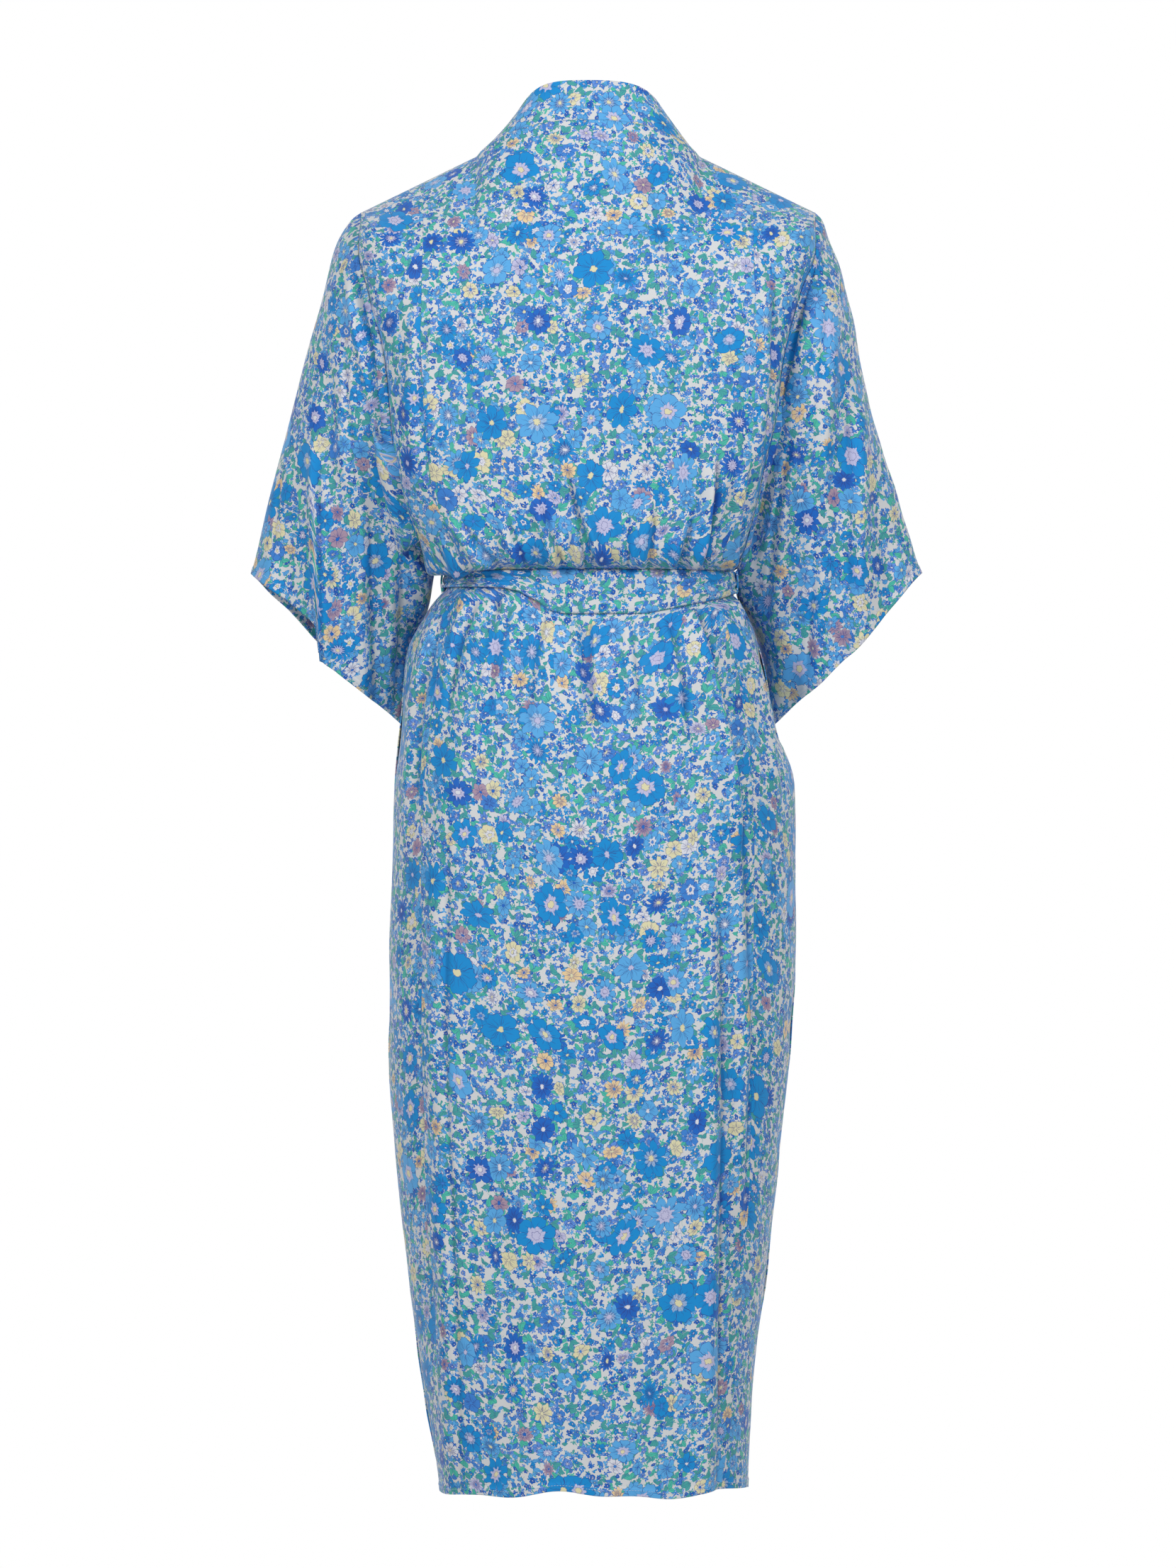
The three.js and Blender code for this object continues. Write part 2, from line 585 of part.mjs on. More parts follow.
// The outline round the waist at the belt, grown outward. The angle runs from the back.
function waistPoint(angle, z, grow) {
  const side = Math.sin(angle) < 0 ? -1 : 1;
  const face = Math.cos(angle) < 0 ? -1 : 1;
  const half = Math.max(bodyHalf[side](BELT_TOP_Z), bodyHalf[side](BELT_LOW_Z)) + grow;
  const deep = Math.max(bodyDepth[face](BELT_TOP_Z), bodyDepth[face](BELT_LOW_Z)) + grow;
  const x = side * half * Math.abs(Math.sin(angle)) ** (2 / SQUARE);
  const y = face * deep * Math.abs(Math.cos(angle)) ** (2 / SQUARE);
  return new THREE.Vector3(x, y, z);
}

function beltGeometry() {
  const outer = BELT.grow + BELT.cloth;
  const angles = steps(0, 2 * Math.PI, BELT.columns).slice(0, -1);
  const bow = [0.2, 0, 0.2];
  const heights = steps(BELT_TOP_Z, BELT_LOW_Z, bow.length - 1);
  const points = heights.map((z, i) => angles.map((angle) => {
    const point = waistPoint(angle, z, outer - bow[i]);
    point.z += (waistRise(point.x) * (BELT_TOP_Z - z)) / (BELT_TOP_Z - BELT_LOW_Z);
    return point;
  }));
  return wallGeometry(points, gridNormals(points, 1, true), BELT.cloth - 0.3, true);
}

// Each tail hangs from the knot over the front, made from its points moved out.
function tailGeometry(tail) {
  const panel = { ...FRONT, side: -1, turn: 1 };
  const start = KNOT.z - KNOT.tall - SEAM;
  const across = steps(-1, 1, 3);
  const down = steps(0, 1, 12);
  const beltFace = -waistPoint(Math.PI, 0, BELT.grow + BELT.cloth).y;
  const points = down.map((t) => across.map((a) => {
    const z = start - t * tail.length;
    const half = mix(tail.half * 0.55, tail.half, smooth(0, 0.25, t));
    const spread = Math.min(1, t * 2.2);
    const x = mix(mix(tail.top, tail.foot, 0.75), tail.foot, t) * spread + tail.top * (1 - spread) + a * half;
    const skirt = bodyPoint(panel.face, x, z, 1);
    skirt.y -= bodyLift(-1, x, z, FULL_DROP) + BELT.cloth + TAIL_CLEAR;
    skirt.y = mix(-beltFace - KNOT.deep, skirt.y, smooth(0, 0.12, t));
    return skirt;
  }));
  const normals = points.map((line) => line.map(() => new THREE.Vector3(0, -1, 0)));
  return wallGeometry(points, normals, BELT.cloth);
}

// The knot is a rounded wad of cloth pinched across its middle, flat where it lies on the belt.
function knotGeometry() {
  const beltFace = -waistPoint(Math.PI, 0, BELT.grow + BELT.cloth).y;
  const rest = 0.7 * KNOT.deep;
  const centre = new THREE.Vector3(KNOT.x, -beltFace - SEAM - rest, KNOT.z);
  const ball = new THREE.SphereGeometry(1, 20, 12);
  const place = ball.attributes.position;
  for (let i = 0; i < place.count; i += 1) {
    const unit = new THREE.Vector3().fromBufferAttribute(place, i);
    const pinch = 1 - 0.22 * Math.exp(-(((unit.x + unit.y * 0.35) / 0.22) ** 2));
    const round = (v) => Math.sign(v) * Math.abs(v) ** 0.62;
    const front = centre.y - KNOT.deep * round(unit.z) * pinch;
    place.setXYZ(
      i,
      centre.x + KNOT.half * round(unit.x),
      Math.min(front, centre.y + rest),
      centre.z + KNOT.tall * round(unit.y),
    );
  }
  return ball;
}

// A belt carrier is a narrow strip over the belt, just behind each side seam.
function carrierGeometry(side) {
  const outer = BELT.grow + BELT.cloth + SEAM + CARRIER.cloth;
  const lift = steps(BELT_TOP_Z + 0.2, BELT_LOW_Z + BELT_SIDE_RISE - 0.2, 4);
  const points = lift.map((z) => [-1, 0, 1].map((a) => {
    const y = CARRIER.y + a * CARRIER.half;
    const deep = bodyDepth[1](BELT_TOP_Z) + outer;
    const half = bodyHalf[side](BELT_TOP_Z) + outer;
    const x = side * half * (1 - (y / deep) ** SQUARE) ** (1 / SQUARE);
    return new THREE.Vector3(x, y, z);
  }));
  const normals = points.map((line) => line.map(() => new THREE.Vector3(side, 0, 0)));
  return wallGeometry(points, normals, CARRIER.cloth);
}

const printed = new THREE.MeshStandardMaterial({ color: 0x7aa6c8, roughness: 0.62, metalness: 0 });
const printedSleeve = new THREE.MeshStandardMaterial({ color: 0x7fa9ca, roughness: 0.62, metalness: 0 });
const printedBand = new THREE.MeshStandardMaterial({ color: 0x86abc6, roughness: 0.64, metalness: 0 });
const printedBelt = new THREE.MeshStandardMaterial({ color: 0x6f9fca, roughness: 0.6, metalness: 0 });

const kaftan = new THREE.Group();

function add(name, geometry, material) {
  const mesh = new THREE.Mesh(geometry, material);
  mesh.name = name;
  kaftan.add(mesh);
}

add('back_panel', panelGeometry(BACK, centreColumns()), printed);
for (const [name, side] of [['left', 1], ['right', -1]]) {
  add(`side_back_${name}`, panelGeometry(BACK, sideColumns(side)), printed);
  add(`front_${name}`, panelGeometry({ ...FRONT, under: side > 0 }, frontColumns(side)), printed);
  add(`sleeve_${name}`, sleeveGeometry(side), printedSleeve);
  add(`belt_carrier_${name}`, carrierGeometry(side), printedBelt);
}
add('neckband', neckbandGeometry(), printedBand);
add('belt', beltGeometry(), printedBelt);
add('belt_knot', knotGeometry(), printedBelt);
for (const tail of TAILS) add(tail.name, tailGeometry(tail), printedBelt);

export default kaftan;
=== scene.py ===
"""A belted wrap kaftan in printed viscose, worn shape with no wearer. Sizes are in millimetres until a mesh is made."""

import bpy
import math
from functools import partialmethod
import numpy as np
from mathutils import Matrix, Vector


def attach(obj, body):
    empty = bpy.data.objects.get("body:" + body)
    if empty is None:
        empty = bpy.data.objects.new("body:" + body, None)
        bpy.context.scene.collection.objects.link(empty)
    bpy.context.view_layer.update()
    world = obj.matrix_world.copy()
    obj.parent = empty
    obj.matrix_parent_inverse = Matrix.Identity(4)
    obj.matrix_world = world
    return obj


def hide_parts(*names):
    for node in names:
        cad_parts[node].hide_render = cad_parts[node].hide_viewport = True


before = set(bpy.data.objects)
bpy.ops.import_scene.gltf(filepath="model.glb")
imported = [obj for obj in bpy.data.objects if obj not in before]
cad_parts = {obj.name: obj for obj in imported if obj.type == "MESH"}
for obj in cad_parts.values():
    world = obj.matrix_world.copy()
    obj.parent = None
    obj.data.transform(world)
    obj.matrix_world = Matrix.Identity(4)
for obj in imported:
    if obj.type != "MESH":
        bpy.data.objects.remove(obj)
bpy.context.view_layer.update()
rng = np.random.default_rng(7)
MM = 0.001

HEM_Z, NECK_HALF, NECK_Z, NAPE_RISE, NAPE_DEPTH = -1174, 100, 27, 29, 58
SHOULDER_HALF, SHOULDER_Z, CREST_Y, LEVEL_Z, UNDERARM_Z = 205, -24, -2, -150, -344
ARMHOLE_DEPTH, BELT_TOP_Z, BELT_LOW_Z, BELT_SIDE_RISE, BAND_WIDTH = 68, -348.5, -387, 19, 40
UNDERLAP, SQUARE, CENTRE_SHARE, PANEL_HALF, FAN_LENGTH = 5, 2.4, 0.7, 148, 180
FULL_LENGTH = FAN_LENGTH + LEVEL_Z - HEM_Z
# where a front stops being flat, as a share of its half width
FLAT_SHARE = 0.72
# the folded hem or cuff: how deep, how far it stands out, and its stitches' distance from the edge
HEM_FOLD, HEM_STEP, STITCH_EDGE = 7, 0.5, 5.3
STITCH_PITCH, STITCH_HALF, STITCH_THICK = 2.6, 0.95, 0.24
# how far the blouse hangs over the belt's left end
DROOP = 12
GROOVE_WIDTH, GROOVE_GROWTH = 1.2, 0.24
# the waist's half width to each side and its depth behind and in front, and the space to the belt
WAIST_HALF, WAIST_DEPTH, BELT_SPACE = {1: 128, -1: 131}, {1: 101, -1: 99}, 2.7
# the left cuff's step: its place, and how far the edge runs up outside and down inside it
CUFF_STEP_X, STEP_OUTER, STEP_INNER = 243, 15.5, 14.5
# how deep the cloth is drawn in beside the armhole
ARMHOLE_HOLLOW = 13

# z, half width to the wearer's left and right, depth of the back and of the front
BODY = [
    (60, 205, 205, 84, 70), (-24, 205, 205, 98, 84), (-60, 206, 204, 104, 90), (-100, 197, 191, 112, 97),
    (-150, 185, 177, 119, 104), (-230, 174, 164, 124, 111), (-290, 163, 151, 125, 113), (-325, 151, 143, 123, 112),
    (-338, 144, 139, 118, 109), (-344, 138, 137, 111, 105), (-347, 128, 131, 101, 99), (-368, 126, 130, 99, 97),
    (-388, 128, 131, 101, 99), (-391, 132, 134, 104, 102), (-408, 146, 144, 111, 106), (-440, 163, 158, 123, 113),
    (-484, 168, 168, 132, 118), (-542, 174, 186, 138, 123), (-600, 176, 188, 140, 125), (-715, 178, 187, 139, 125),
    (-773, 179, 183, 137, 124), (-869, 174, 173, 132, 121), (-984, 162, 161, 125, 117), (-1100, 146, 147, 119, 112),
    (-1174, 132, 144, 115, 109),
]
# z, half width of the centre back, where each front meets its band
SEAMS = [
    (60, 148, 100), (27, 148, 100), (-50, 148, 83), (-150, 148, 54), (-250, 143, 23), (-325, 122, -3),
    (-347, 104, -10), (-388, 104, -22), (-400, 118, -26), (-472, 138, -43), (-560, 147, -53), (-715, 148, -62),
    (-869, 146, -62), (-984, 139, -60), (-1100, 129, -57), (-1174, 119, -55),
]
# share along the sleeve, top line left, right, z, y, underarm line x, z, y, half depth
SLEEVE = [
    (0, 205, 205, -24, -2, 137.5, -344, 0, 68), (0.07, 213, 211, -30, -2, 140, -357, -6, 76),
    (0.16, 222, 217, -44, -3, 143, -371, -17, 82), (0.3, 234, 229, -79, -5, 149, -393, -38, 83),
    (0.45, 248, 240, -124, -9, 154.5, -415, -51, 79), (0.6, 262, 250, -178, -14, 158, -437, -55, 73),
    (0.8, 282, 274, -260, -21, 160, -464, -57, 64), (1, 307, 302, -349, -28, 163, -492, -58, 54),
]
# folds: x and z of the points of each, width towards +X and -X, height of the ridge
BACK_FOLDS = [
    ([(124, -292), (86, -350)], 15, 8, 5), ([(54, -280), (30, -350)], 11, 13, 4),
    ([(20, -240), (-14, -350)], 9, 14, 4.5), ([(-122, -250), (-98, -350)], 13, 9, 6),
    ([(146, -70), (166, -290)], 16, 22, 4), ([(-150, -60), (-146, -290)], 22, 14, 4),
    ([(-40, 20), (-62, -210)], 30, 30, 2.5), ([(-93, -375), (-140, -620)], 17, 9, 9),
    ([(3, -375), (-2, -540)], 12, 12, -4), ([(92, -375), (128, -640)], 14, 18, 5),
    ([(127, -560), (112, -1400)], 14, 17, 5), ([(-108, -620), (-98, -1400)], 15, 12, 4.5),
    ([(58, -760), (40, -1400)], 20, 20, 4), ([(-30, -820), (-34, -1400)], 22, 18, 3.5),
]
FRONT_FOLDS = [
    ([(128, -262), (92, -350)], 12, 12, 5), ([(-132, -250), (-94, -350)], 12, 12, 5.5),
    ([(86, -250), (60, -350)], 12, 12, 4), ([(-96, -240), (-58, -350)], 12, 12, 4.5),
    ([(-84, -375), (-118, -640)], 14, 14, 6), ([(-40, -375), (-56, -700)], 15, 15, 4),
    ([(104, -375), (132, -600)], 14, 14, 5), ([(-112, -640), (-100, -1400)], 16, 16, 4.5),
    ([(-28, -760), (-20, -1400)], 20, 20, 4),
]
SLEEVE_FOLDS = [
    ([(240, -150), (243, -560)], 16, 8, 7), ([(216, -70), (205, -330)], 14, 14, 5),
    ([(196, -220), (182, -560)], 10, 12, -5), ([(268, -240), (276, -560)], 12, 14, -4),
]
# gathers at the belt: place, width, height, run up and down, lean
BACK_GATHERS = [
    (108, 9, 3.5, 60, 50, 18), (62, 10, 4, 70, 70, 13), (8, 9, 3, 60, 60, 2), (-40, 10, 4, 85, 66, -8),
    (-70, 9, 3.5, 60, 74, -14), (-116, 8, 4, 74, 50, -16),
]
FRONT_GATHERS = [
    (112, 9, 3.5, 60, 58, 16), (74, 10, 4, 72, 80, 12), (-72, 10, 4, 66, 88, -12), (-112, 9, 3.5, 70, 60, -18),
]
HEM_WAVES = [(160, 2.6, 20), (71, 1.6, -11)]

# finer folds that only the cloth's surface has
BACK_FINE = [
    ([(80, -350), (102, -328), (124, -300)], 5, 3.4, 6), ([(27, -350), (38, -318), (50, -285)], 4.5, 4, 5),
    ([(-14, -350), (2, -305), (17, -250)], 3.4, 5, 5.5), ([(-94, -354), (-104, -315), (-114, -240)], 7, 2.6, 10),
    ([(-128, -358), (-134, -300), (-142, -240)], 5, 4, 6), ([(58, -352), (70, -326), (79, -298)], 4, 4, 4),
    ([(-46, -352), (-52, -320), (-56, -286)], 4, 4, 4), ([(-72, -352), (-82, -322), (-90, -292)], 4, 4, 4.5),
    ([(104, -352), (122, -332), (138, -316)], 4, 4, 5), ([(6, -352), (10, -330), (16, -306)], 3.4, 3.4, 3.6),
    ([(-30, -352), (-32, -326), (-32, -296)], 3.4, 3.4, 3.6), ([(152, -120), (158, -200), (150, -290)], 7, 6, 4.5),
    ([(-160, -90), (-156, -180), (-146, -290)], 6, 5, 5), ([(-40, 10), (-56, -60), (-66, -150)], 9, 9, 2.5),
    ([(44, 20), (66, -50), (84, -140)], 9, 9, 2.5),
    ([(-92, -382), (-114, -474), (-127, -535), (-136, -640)], 20, 3, 13),
    ([(-131, -374), (-143, -398)], 5, 3, 5), ([(84, -368), (78, -392)], 4, 4, -4),
    ([(104, -372), (120, -410), (134, -480)], 6, 4.5, 5.5), ([(44, -390), (54, -440), (62, -510)], 6, 5, 4),
    ([(3, -388), (1, -440), (-1, -500)], 5, 5, -4.5), ([(-32, -390), (-37, -440), (-42, -510)], 5, 5, 3.6),
    ([(-64, -390), (-78, -450), (-86, -520)], 6, 4.5, 4.5), ([(-146, -410), (-162, -480), (-170, -570)], 6, 5, 5),
    ([(140, -392), (156, -470), (164, -600)], 7, 4, 6), ([(74, -378), (88, -430), (98, -500)], 5, 5, 3.6),
    ([(134, -560), (138, -760), (128, -1000), (118, -1300)], 9, 8, 4.5),
    ([(-106, -620), (-110, -800), (-104, -1300)], 9, 7, 5), ([(-132, -600), (-140, -760), (-132, -980)], 6, 5, 4),
]
FRONT_FINE = [
    ([(100, -350), (116, -318), (126, -286)], 5, 4, 5), ([(48, -350), (60, -310), (70, -266)], 5, 4, 5),
    ([(-60, -350), (-76, -310), (-84, -258)], 4, 5, 5), ([(-104, -350), (-118, -312), (-128, -276)], 5, 4, 5),
    ([(76, -350), (90, -320), (98, -290)], 4, 4, 4), ([(-82, -350), (-92, -325), (-100, -290)], 4, 4, 4),
    ([(-70, -384), (-90, -450), (-104, -560)], 10, 3, 7), ([(84, -388), (104, -450), (118, -530)], 6, 4.5, 5),
    ([(-24, -388), (-34, -460), (-40, -560)], 6, 5, 4.5), ([(126, -390), (142, -440), (154, -510)], 6, 5, 5),
    ([(-110, -388), (-130, -450), (-142, -530)], 5, 5, 4.5), ([(52, -388), (64, -440), (70, -510)], 5, 5, 4),
    ([(110, -600), (116, -800), (108, -1300)], 9, 8, 4.5),
]
LEFT_SLEEVE_FINE = [
    ([(214, -72), (205, -128), (189, -200), (178, -252), (160, -330), (150, -370)], 6, 3, 7.5),
    ([(243, -230), (244, -320), (243, -480)], 5, 2.4, 6), ([(206, -290), (204, -380), (200, -470)], 7, 6, 4),
    ([(268, -250), (276, -340)], 6, 8, 3.5), ([(228, -120), (222, -200), (216, -280)], 6, 6, 3.5),
    ([(176, -330), (178, -400), (182, -480)], 6, 6, 4),
]
RIGHT_SLEEVE_FINE = [
    ([(240, -190), (243, -260), (243, -370)], 8, 5, 5), ([(190, -220), (176, -300), (168, -400)], 6, 5, 5),
    ([(214, -320), (206, -460)], 7, 6, 4), ([(222, -110), (214, -200), (208, -280)], 6, 6, 3.5),
    ([(272, -280), (282, -360)], 7, 7, 3),
]
# the belt's low edge on the back: x, z
BELT_EDGE = [
    (150, -363), (108, -363.5), (80, -364.5), (64, -367.5), (47, -376), (32, -385.5), (18, -388),
    (-45, -388), (-70, -384.5), (-95, -379), (-119, -374), (-150, -362),
]
KNOT_X, KNOT_Y, KNOT_Z, KNOT_HALF, KNOT_TALL, KNOT_DEEP = 26, -102, -368, 21, 17, 10.5
# the tails: place at the knot and at the end, half width, length
TAILS = {"left": (36.5, 72, 17, 330), "right": (15.5, -22, 17, 290)}
# where each piece's print starts on the cloth
PRINT_SHIFT = {
    "back_panel": (0, 0), "side_back_left": (61, 37), "side_back_right": (-83, 119),
    "front_left": (430, 260), "front_right": (-390, 310), "sleeve_left": (900, 0), "sleeve_right": (-870, 140),
    "neckband": (40, 1700), "belt": (300, 2100), "tails": (0, 2300),
}
# the band's rows from its seam to its free edge
BAND_ROWS = (0.1, 1.5, 4, 8, 12, 16, 20, 24, 28, 32, 35.5, 38, 39.4, BAND_WIDTH)
# the last rows of a panel, by their distance from the hem
HEM_ROWS = (9.6, 7.6, 7, 6.4, 4.2, 2, 0.8, 0)


def smooth(a, b, x):
    t = np.clip((np.asarray(x, float) - a) / (b - a), 0, 1)
    return t * t * (3 - 2 * t)


def mix(a, b, t):
    return a + (b - a) * t


def track(rows, column, along=0):
    """A smooth curve through one column of a table, with no overshoot between its rows."""
    table = sorted((row[along], row[column]) for row in rows)
    at = np.array([r[0] for r in table], float)
    value = np.array([r[1] for r in table], float)
    rise = np.diff(value) / np.diff(at)
    slope = np.concatenate([[rise[0]], np.zeros(len(rise) - 1), [rise[-1]]])
    for i in range(1, len(rise)):
        if rise[i - 1] * rise[i] > 0:
            slope[i] = 2 * rise[i - 1] * rise[i] / (rise[i - 1] + rise[i])

    def read(x):
        x = np.clip(np.asarray(x, float), at[0], at[-1])
        i = np.clip(np.searchsorted(at, x) - 1, 0, len(at) - 2)
        step = at[i + 1] - at[i]
        t = (x - at[i]) / step
        keep = (1 + 2 * t) * (1 - t) ** 2 * value[i] + t * t * (3 - 2 * t) * value[i + 1]
        return keep + step * (t * (1 - t) ** 2 * slope[i] + t * t * (t - 1) * slope[i + 1])

    return read


body_half = {1: track(BODY, 1), -1: track(BODY, 2)}
body_depth = {1: track(BODY, 3), -1: track(BODY, 4)}
panel_half, band_seam = track(SEAMS, 1), track(SEAMS, 2)
sleeve_track = [track(SLEEVE, i) for i in range(1, 9)]
belt_edge = track(BELT_EDGE, 1)
# flat half width of the centre back, as it was cut
flat_centre = track([(60, 148), (-560, 148), (-869, 147), (-1174, 124)], 1)


def armhole_depth(z):
    s = (z - (SHOULDER_Z + UNDERARM_Z) / 2) / ((SHOULDER_Z - UNDERARM_Z) / 2)
    return ARMHOLE_DEPTH * np.sqrt(np.clip(1 - s * s, 0, 1))


def neck_curve(x):
    return np.clip(1 - (np.abs(x) / NECK_HALF) ** SQUARE, 0, 1)


def crest_height(face, x):
    outer = NECK_Z + (x - NECK_HALF) * (SHOULDER_Z - NECK_Z) / (SHOULDER_HALF - NECK_HALF)
    inner = NECK_Z + (NAPE_RISE * neck_curve(x) ** 0.8 if face > 0 else 0)
    return np.where(x >= NECK_HALF, outer, inner)


def crest_place(face, x):
    return CREST_Y + (np.where(x < NECK_HALF, NAPE_DEPTH * neck_curve(x) ** 0.65, 0) if face > 0 else 0)


def round_over(drop, x):
    outer = smooth(40, 150, x)
    s = np.clip(drop / mix(mix(170, 78, outer), 26, smooth(150, SHOULDER_HALF, x)), 0, 1)
    return mix(np.sin(np.pi / 2 * s), np.sqrt(1 - (1 - s) ** 2), 0.65 * outer)


def fold_lift(folds, x, z, start=0.3, end=0.25, crisp=0.0):
    """Ridges and troughs along open lines, each with its own two widths. A crisp one has a groove on its steep side."""
    lift = np.zeros(np.shape(x))
    for line, plus, minus, high in folds:
        line = np.array(line, float)
        legs = np.diff(line, axis=0)
        lengths = np.hypot(legs[:, 0], legs[:, 1])
        whole, before = lengths.sum(), 0
        near, off, at = np.full(np.shape(x), 1e9), np.zeros(np.shape(x)), np.zeros(np.shape(x))
        for i, (start_at, leg, length) in enumerate(zip(line, legs, lengths)):
            dx, dz = x - start_at[0], z - start_at[1]
            t = (dx * leg[0] + dz * leg[1]) / length**2
            held = np.clip(t, -9 if i == 0 else 0, 9 if i == len(legs) - 1 else 1)
            gap = np.hypot(dx - held * leg[0], dz - held * leg[1])
            side = (dz * leg[0] - dx * leg[1]) * (1 if line[-1, 1] < line[0, 1] else -1)
            take = gap < near
            near, off = np.where(take, gap, near), np.where(take, np.sign(side) * gap, off)
            at = np.where(take, (before + t * length) / whole, at)
            before += length
        fade = smooth(-0.05, start, at) * smooth(1.05, 1 - end, at)
        reach = (off / np.where(off > 0, plus, minus)) ** 2
        deep_at = 1.5 * (plus if plus < minus else -minus)
        groove = np.exp(-(((off - deep_at) / (GROOVE_WIDTH + GROOVE_GROWTH * abs(high))) ** 2))
        lift += high * fade * (np.exp(-reach) - crisp * (0.7 * np.exp(-reach / 5) + 1.9 * groove))
    return lift


def waist_low(face, x):
    """The height of the belt's low edge."""
    return belt_edge(x) if face > 0 else BELT_LOW_Z + BELT_SIDE_RISE * smooth(45, 130, np.abs(x))


def gather_lift(gathers, face, x, z):
    low = waist_low(face, x)
    above = z > (BELT_TOP_Z + low) / 2
    run = np.where(above, z - BELT_TOP_Z, low - z)
    lift = np.zeros(np.shape(x))
    for place, width, high, up, down, lean in gathers:
        share = np.clip(run / np.where(above, up, down), 0, 1)
        lift += high * smooth(1, 0.15, share) * np.exp(-(((x - place - lean * share) / width) ** 2))
    return lift


def small_gathers():
    """The small uneven gathers between the large ones."""
    rows, place = [], -124.0
    while place < 124:
        lean = place * rng.uniform(0.06, 0.2)
        width, high, up, down = (rng.uniform(*span) for span in ((2.6, 5), (0.8, 2.6), (20, 80), (16, 70)))
        rows.append((place, width, high, up, down, lean))
        place += rng.uniform(9, 21)
    return rows


SMALL = {face: small_gathers() for face in (1, -1)}


def wrinkle(x, z, seed, size_x, size_z, count=10):
    """Soft uneven waves from a few sines of random direction."""
    local = np.random.default_rng(seed)
    total = np.zeros(np.shape(x))
    for _ in range(count):
        kx = local.normal() / size_x
        kz = local.normal() / size_z
        total += np.sin(2 * np.pi * (kx * x + kz * z) + local.uniform(0, 6.28))
    return total / math.sqrt(count)


def body_lift(face, x, z, drop):
    low = waist_low(face, x)
    free = smooth(BELT_TOP_Z - 1, BELT_TOP_Z + 9, z) + smooth(low + 1, low - 9, z)
    large = fold_lift(BACK_FOLDS if face > 0 else FRONT_FOLDS, x, z)
    large = large + gather_lift(BACK_GATHERS if face > 0 else FRONT_GATHERS, face, x, z)
    fine = fold_lift(BACK_FINE if face > 0 else FRONT_FINE, x, z, 0.15, 0.4, 0.3)
    fine = fine + gather_lift(SMALL[face], face, x, z)
    soft = 0.9 * wrinkle(x, z, 3 + face, 90, 260) + 0.35 * wrinkle(x, z, 9 + face, 34, 120)
    return (large + fine) * free * smooth(0, 60, drop) + soft * free * smooth(4, 60, drop)


def hem_step(left):
    """How far the folded hem stands out, by the cloth left to its edge."""
    return HEM_STEP * smooth(HEM_FOLD + 0.6, HEM_FOLD - 0.6, left)


def hem_rise(x, face):
    return sum(rise * np.sin(2 * np.pi * (x * face + shift) / length) for length, rise, shift in HEM_WAVES)


def body_point(face, x, z, share):
    side = np.where(x < 0, -1, 1)
    ax = np.abs(x)
    half = np.where(side > 0, body_half[1](z), body_half[-1](z))
    edge = armhole_depth(z)
    full = body_depth[face](z)
    reach = np.clip(1 - np.minimum(1, ax / half) ** SQUARE, 0, 1)
    section = edge + (full - edge) * np.sign(share) * reach ** (1 / SQUARE)
    crest = crest_place(face, ax)
    y = crest + (face * section - crest) * round_over(crest_height(face, ax) - z, ax)
    low = smooth(HEM_Z + 130, HEM_Z, z)
    waist = smooth(BELT_TOP_Z, BELT_LOW_Z, z) * smooth(BELT_LOW_Z - 130, BELT_LOW_Z - 10, z)
    rise = waist_low(face, x) - BELT_LOW_Z
    return np.stack([x, y, z + hem_rise(x, face) * low + rise * waist], axis=-1)


def across_place(side, z, inner, joint, q):
    half = body_half[side](z)
    flat = inner + (joint - inner) * q / CENTRE_SHARE
    start = np.arcsin(np.clip(joint / half, 0, 1) ** (SQUARE / 2))
    angle = start + (np.pi / 2 - start) * np.clip((q - CENTRE_SHARE) / (1 - CENTRE_SHARE), 0, None)
    curved = half * np.sin(angle) ** (2 / SQUARE)
    past = angle > np.pi / 2 + 1e-9
    flat_part = q <= CENTRE_SHARE
    return np.where(flat_part, flat, curved), np.where(past & ~flat_part, -1, 1)


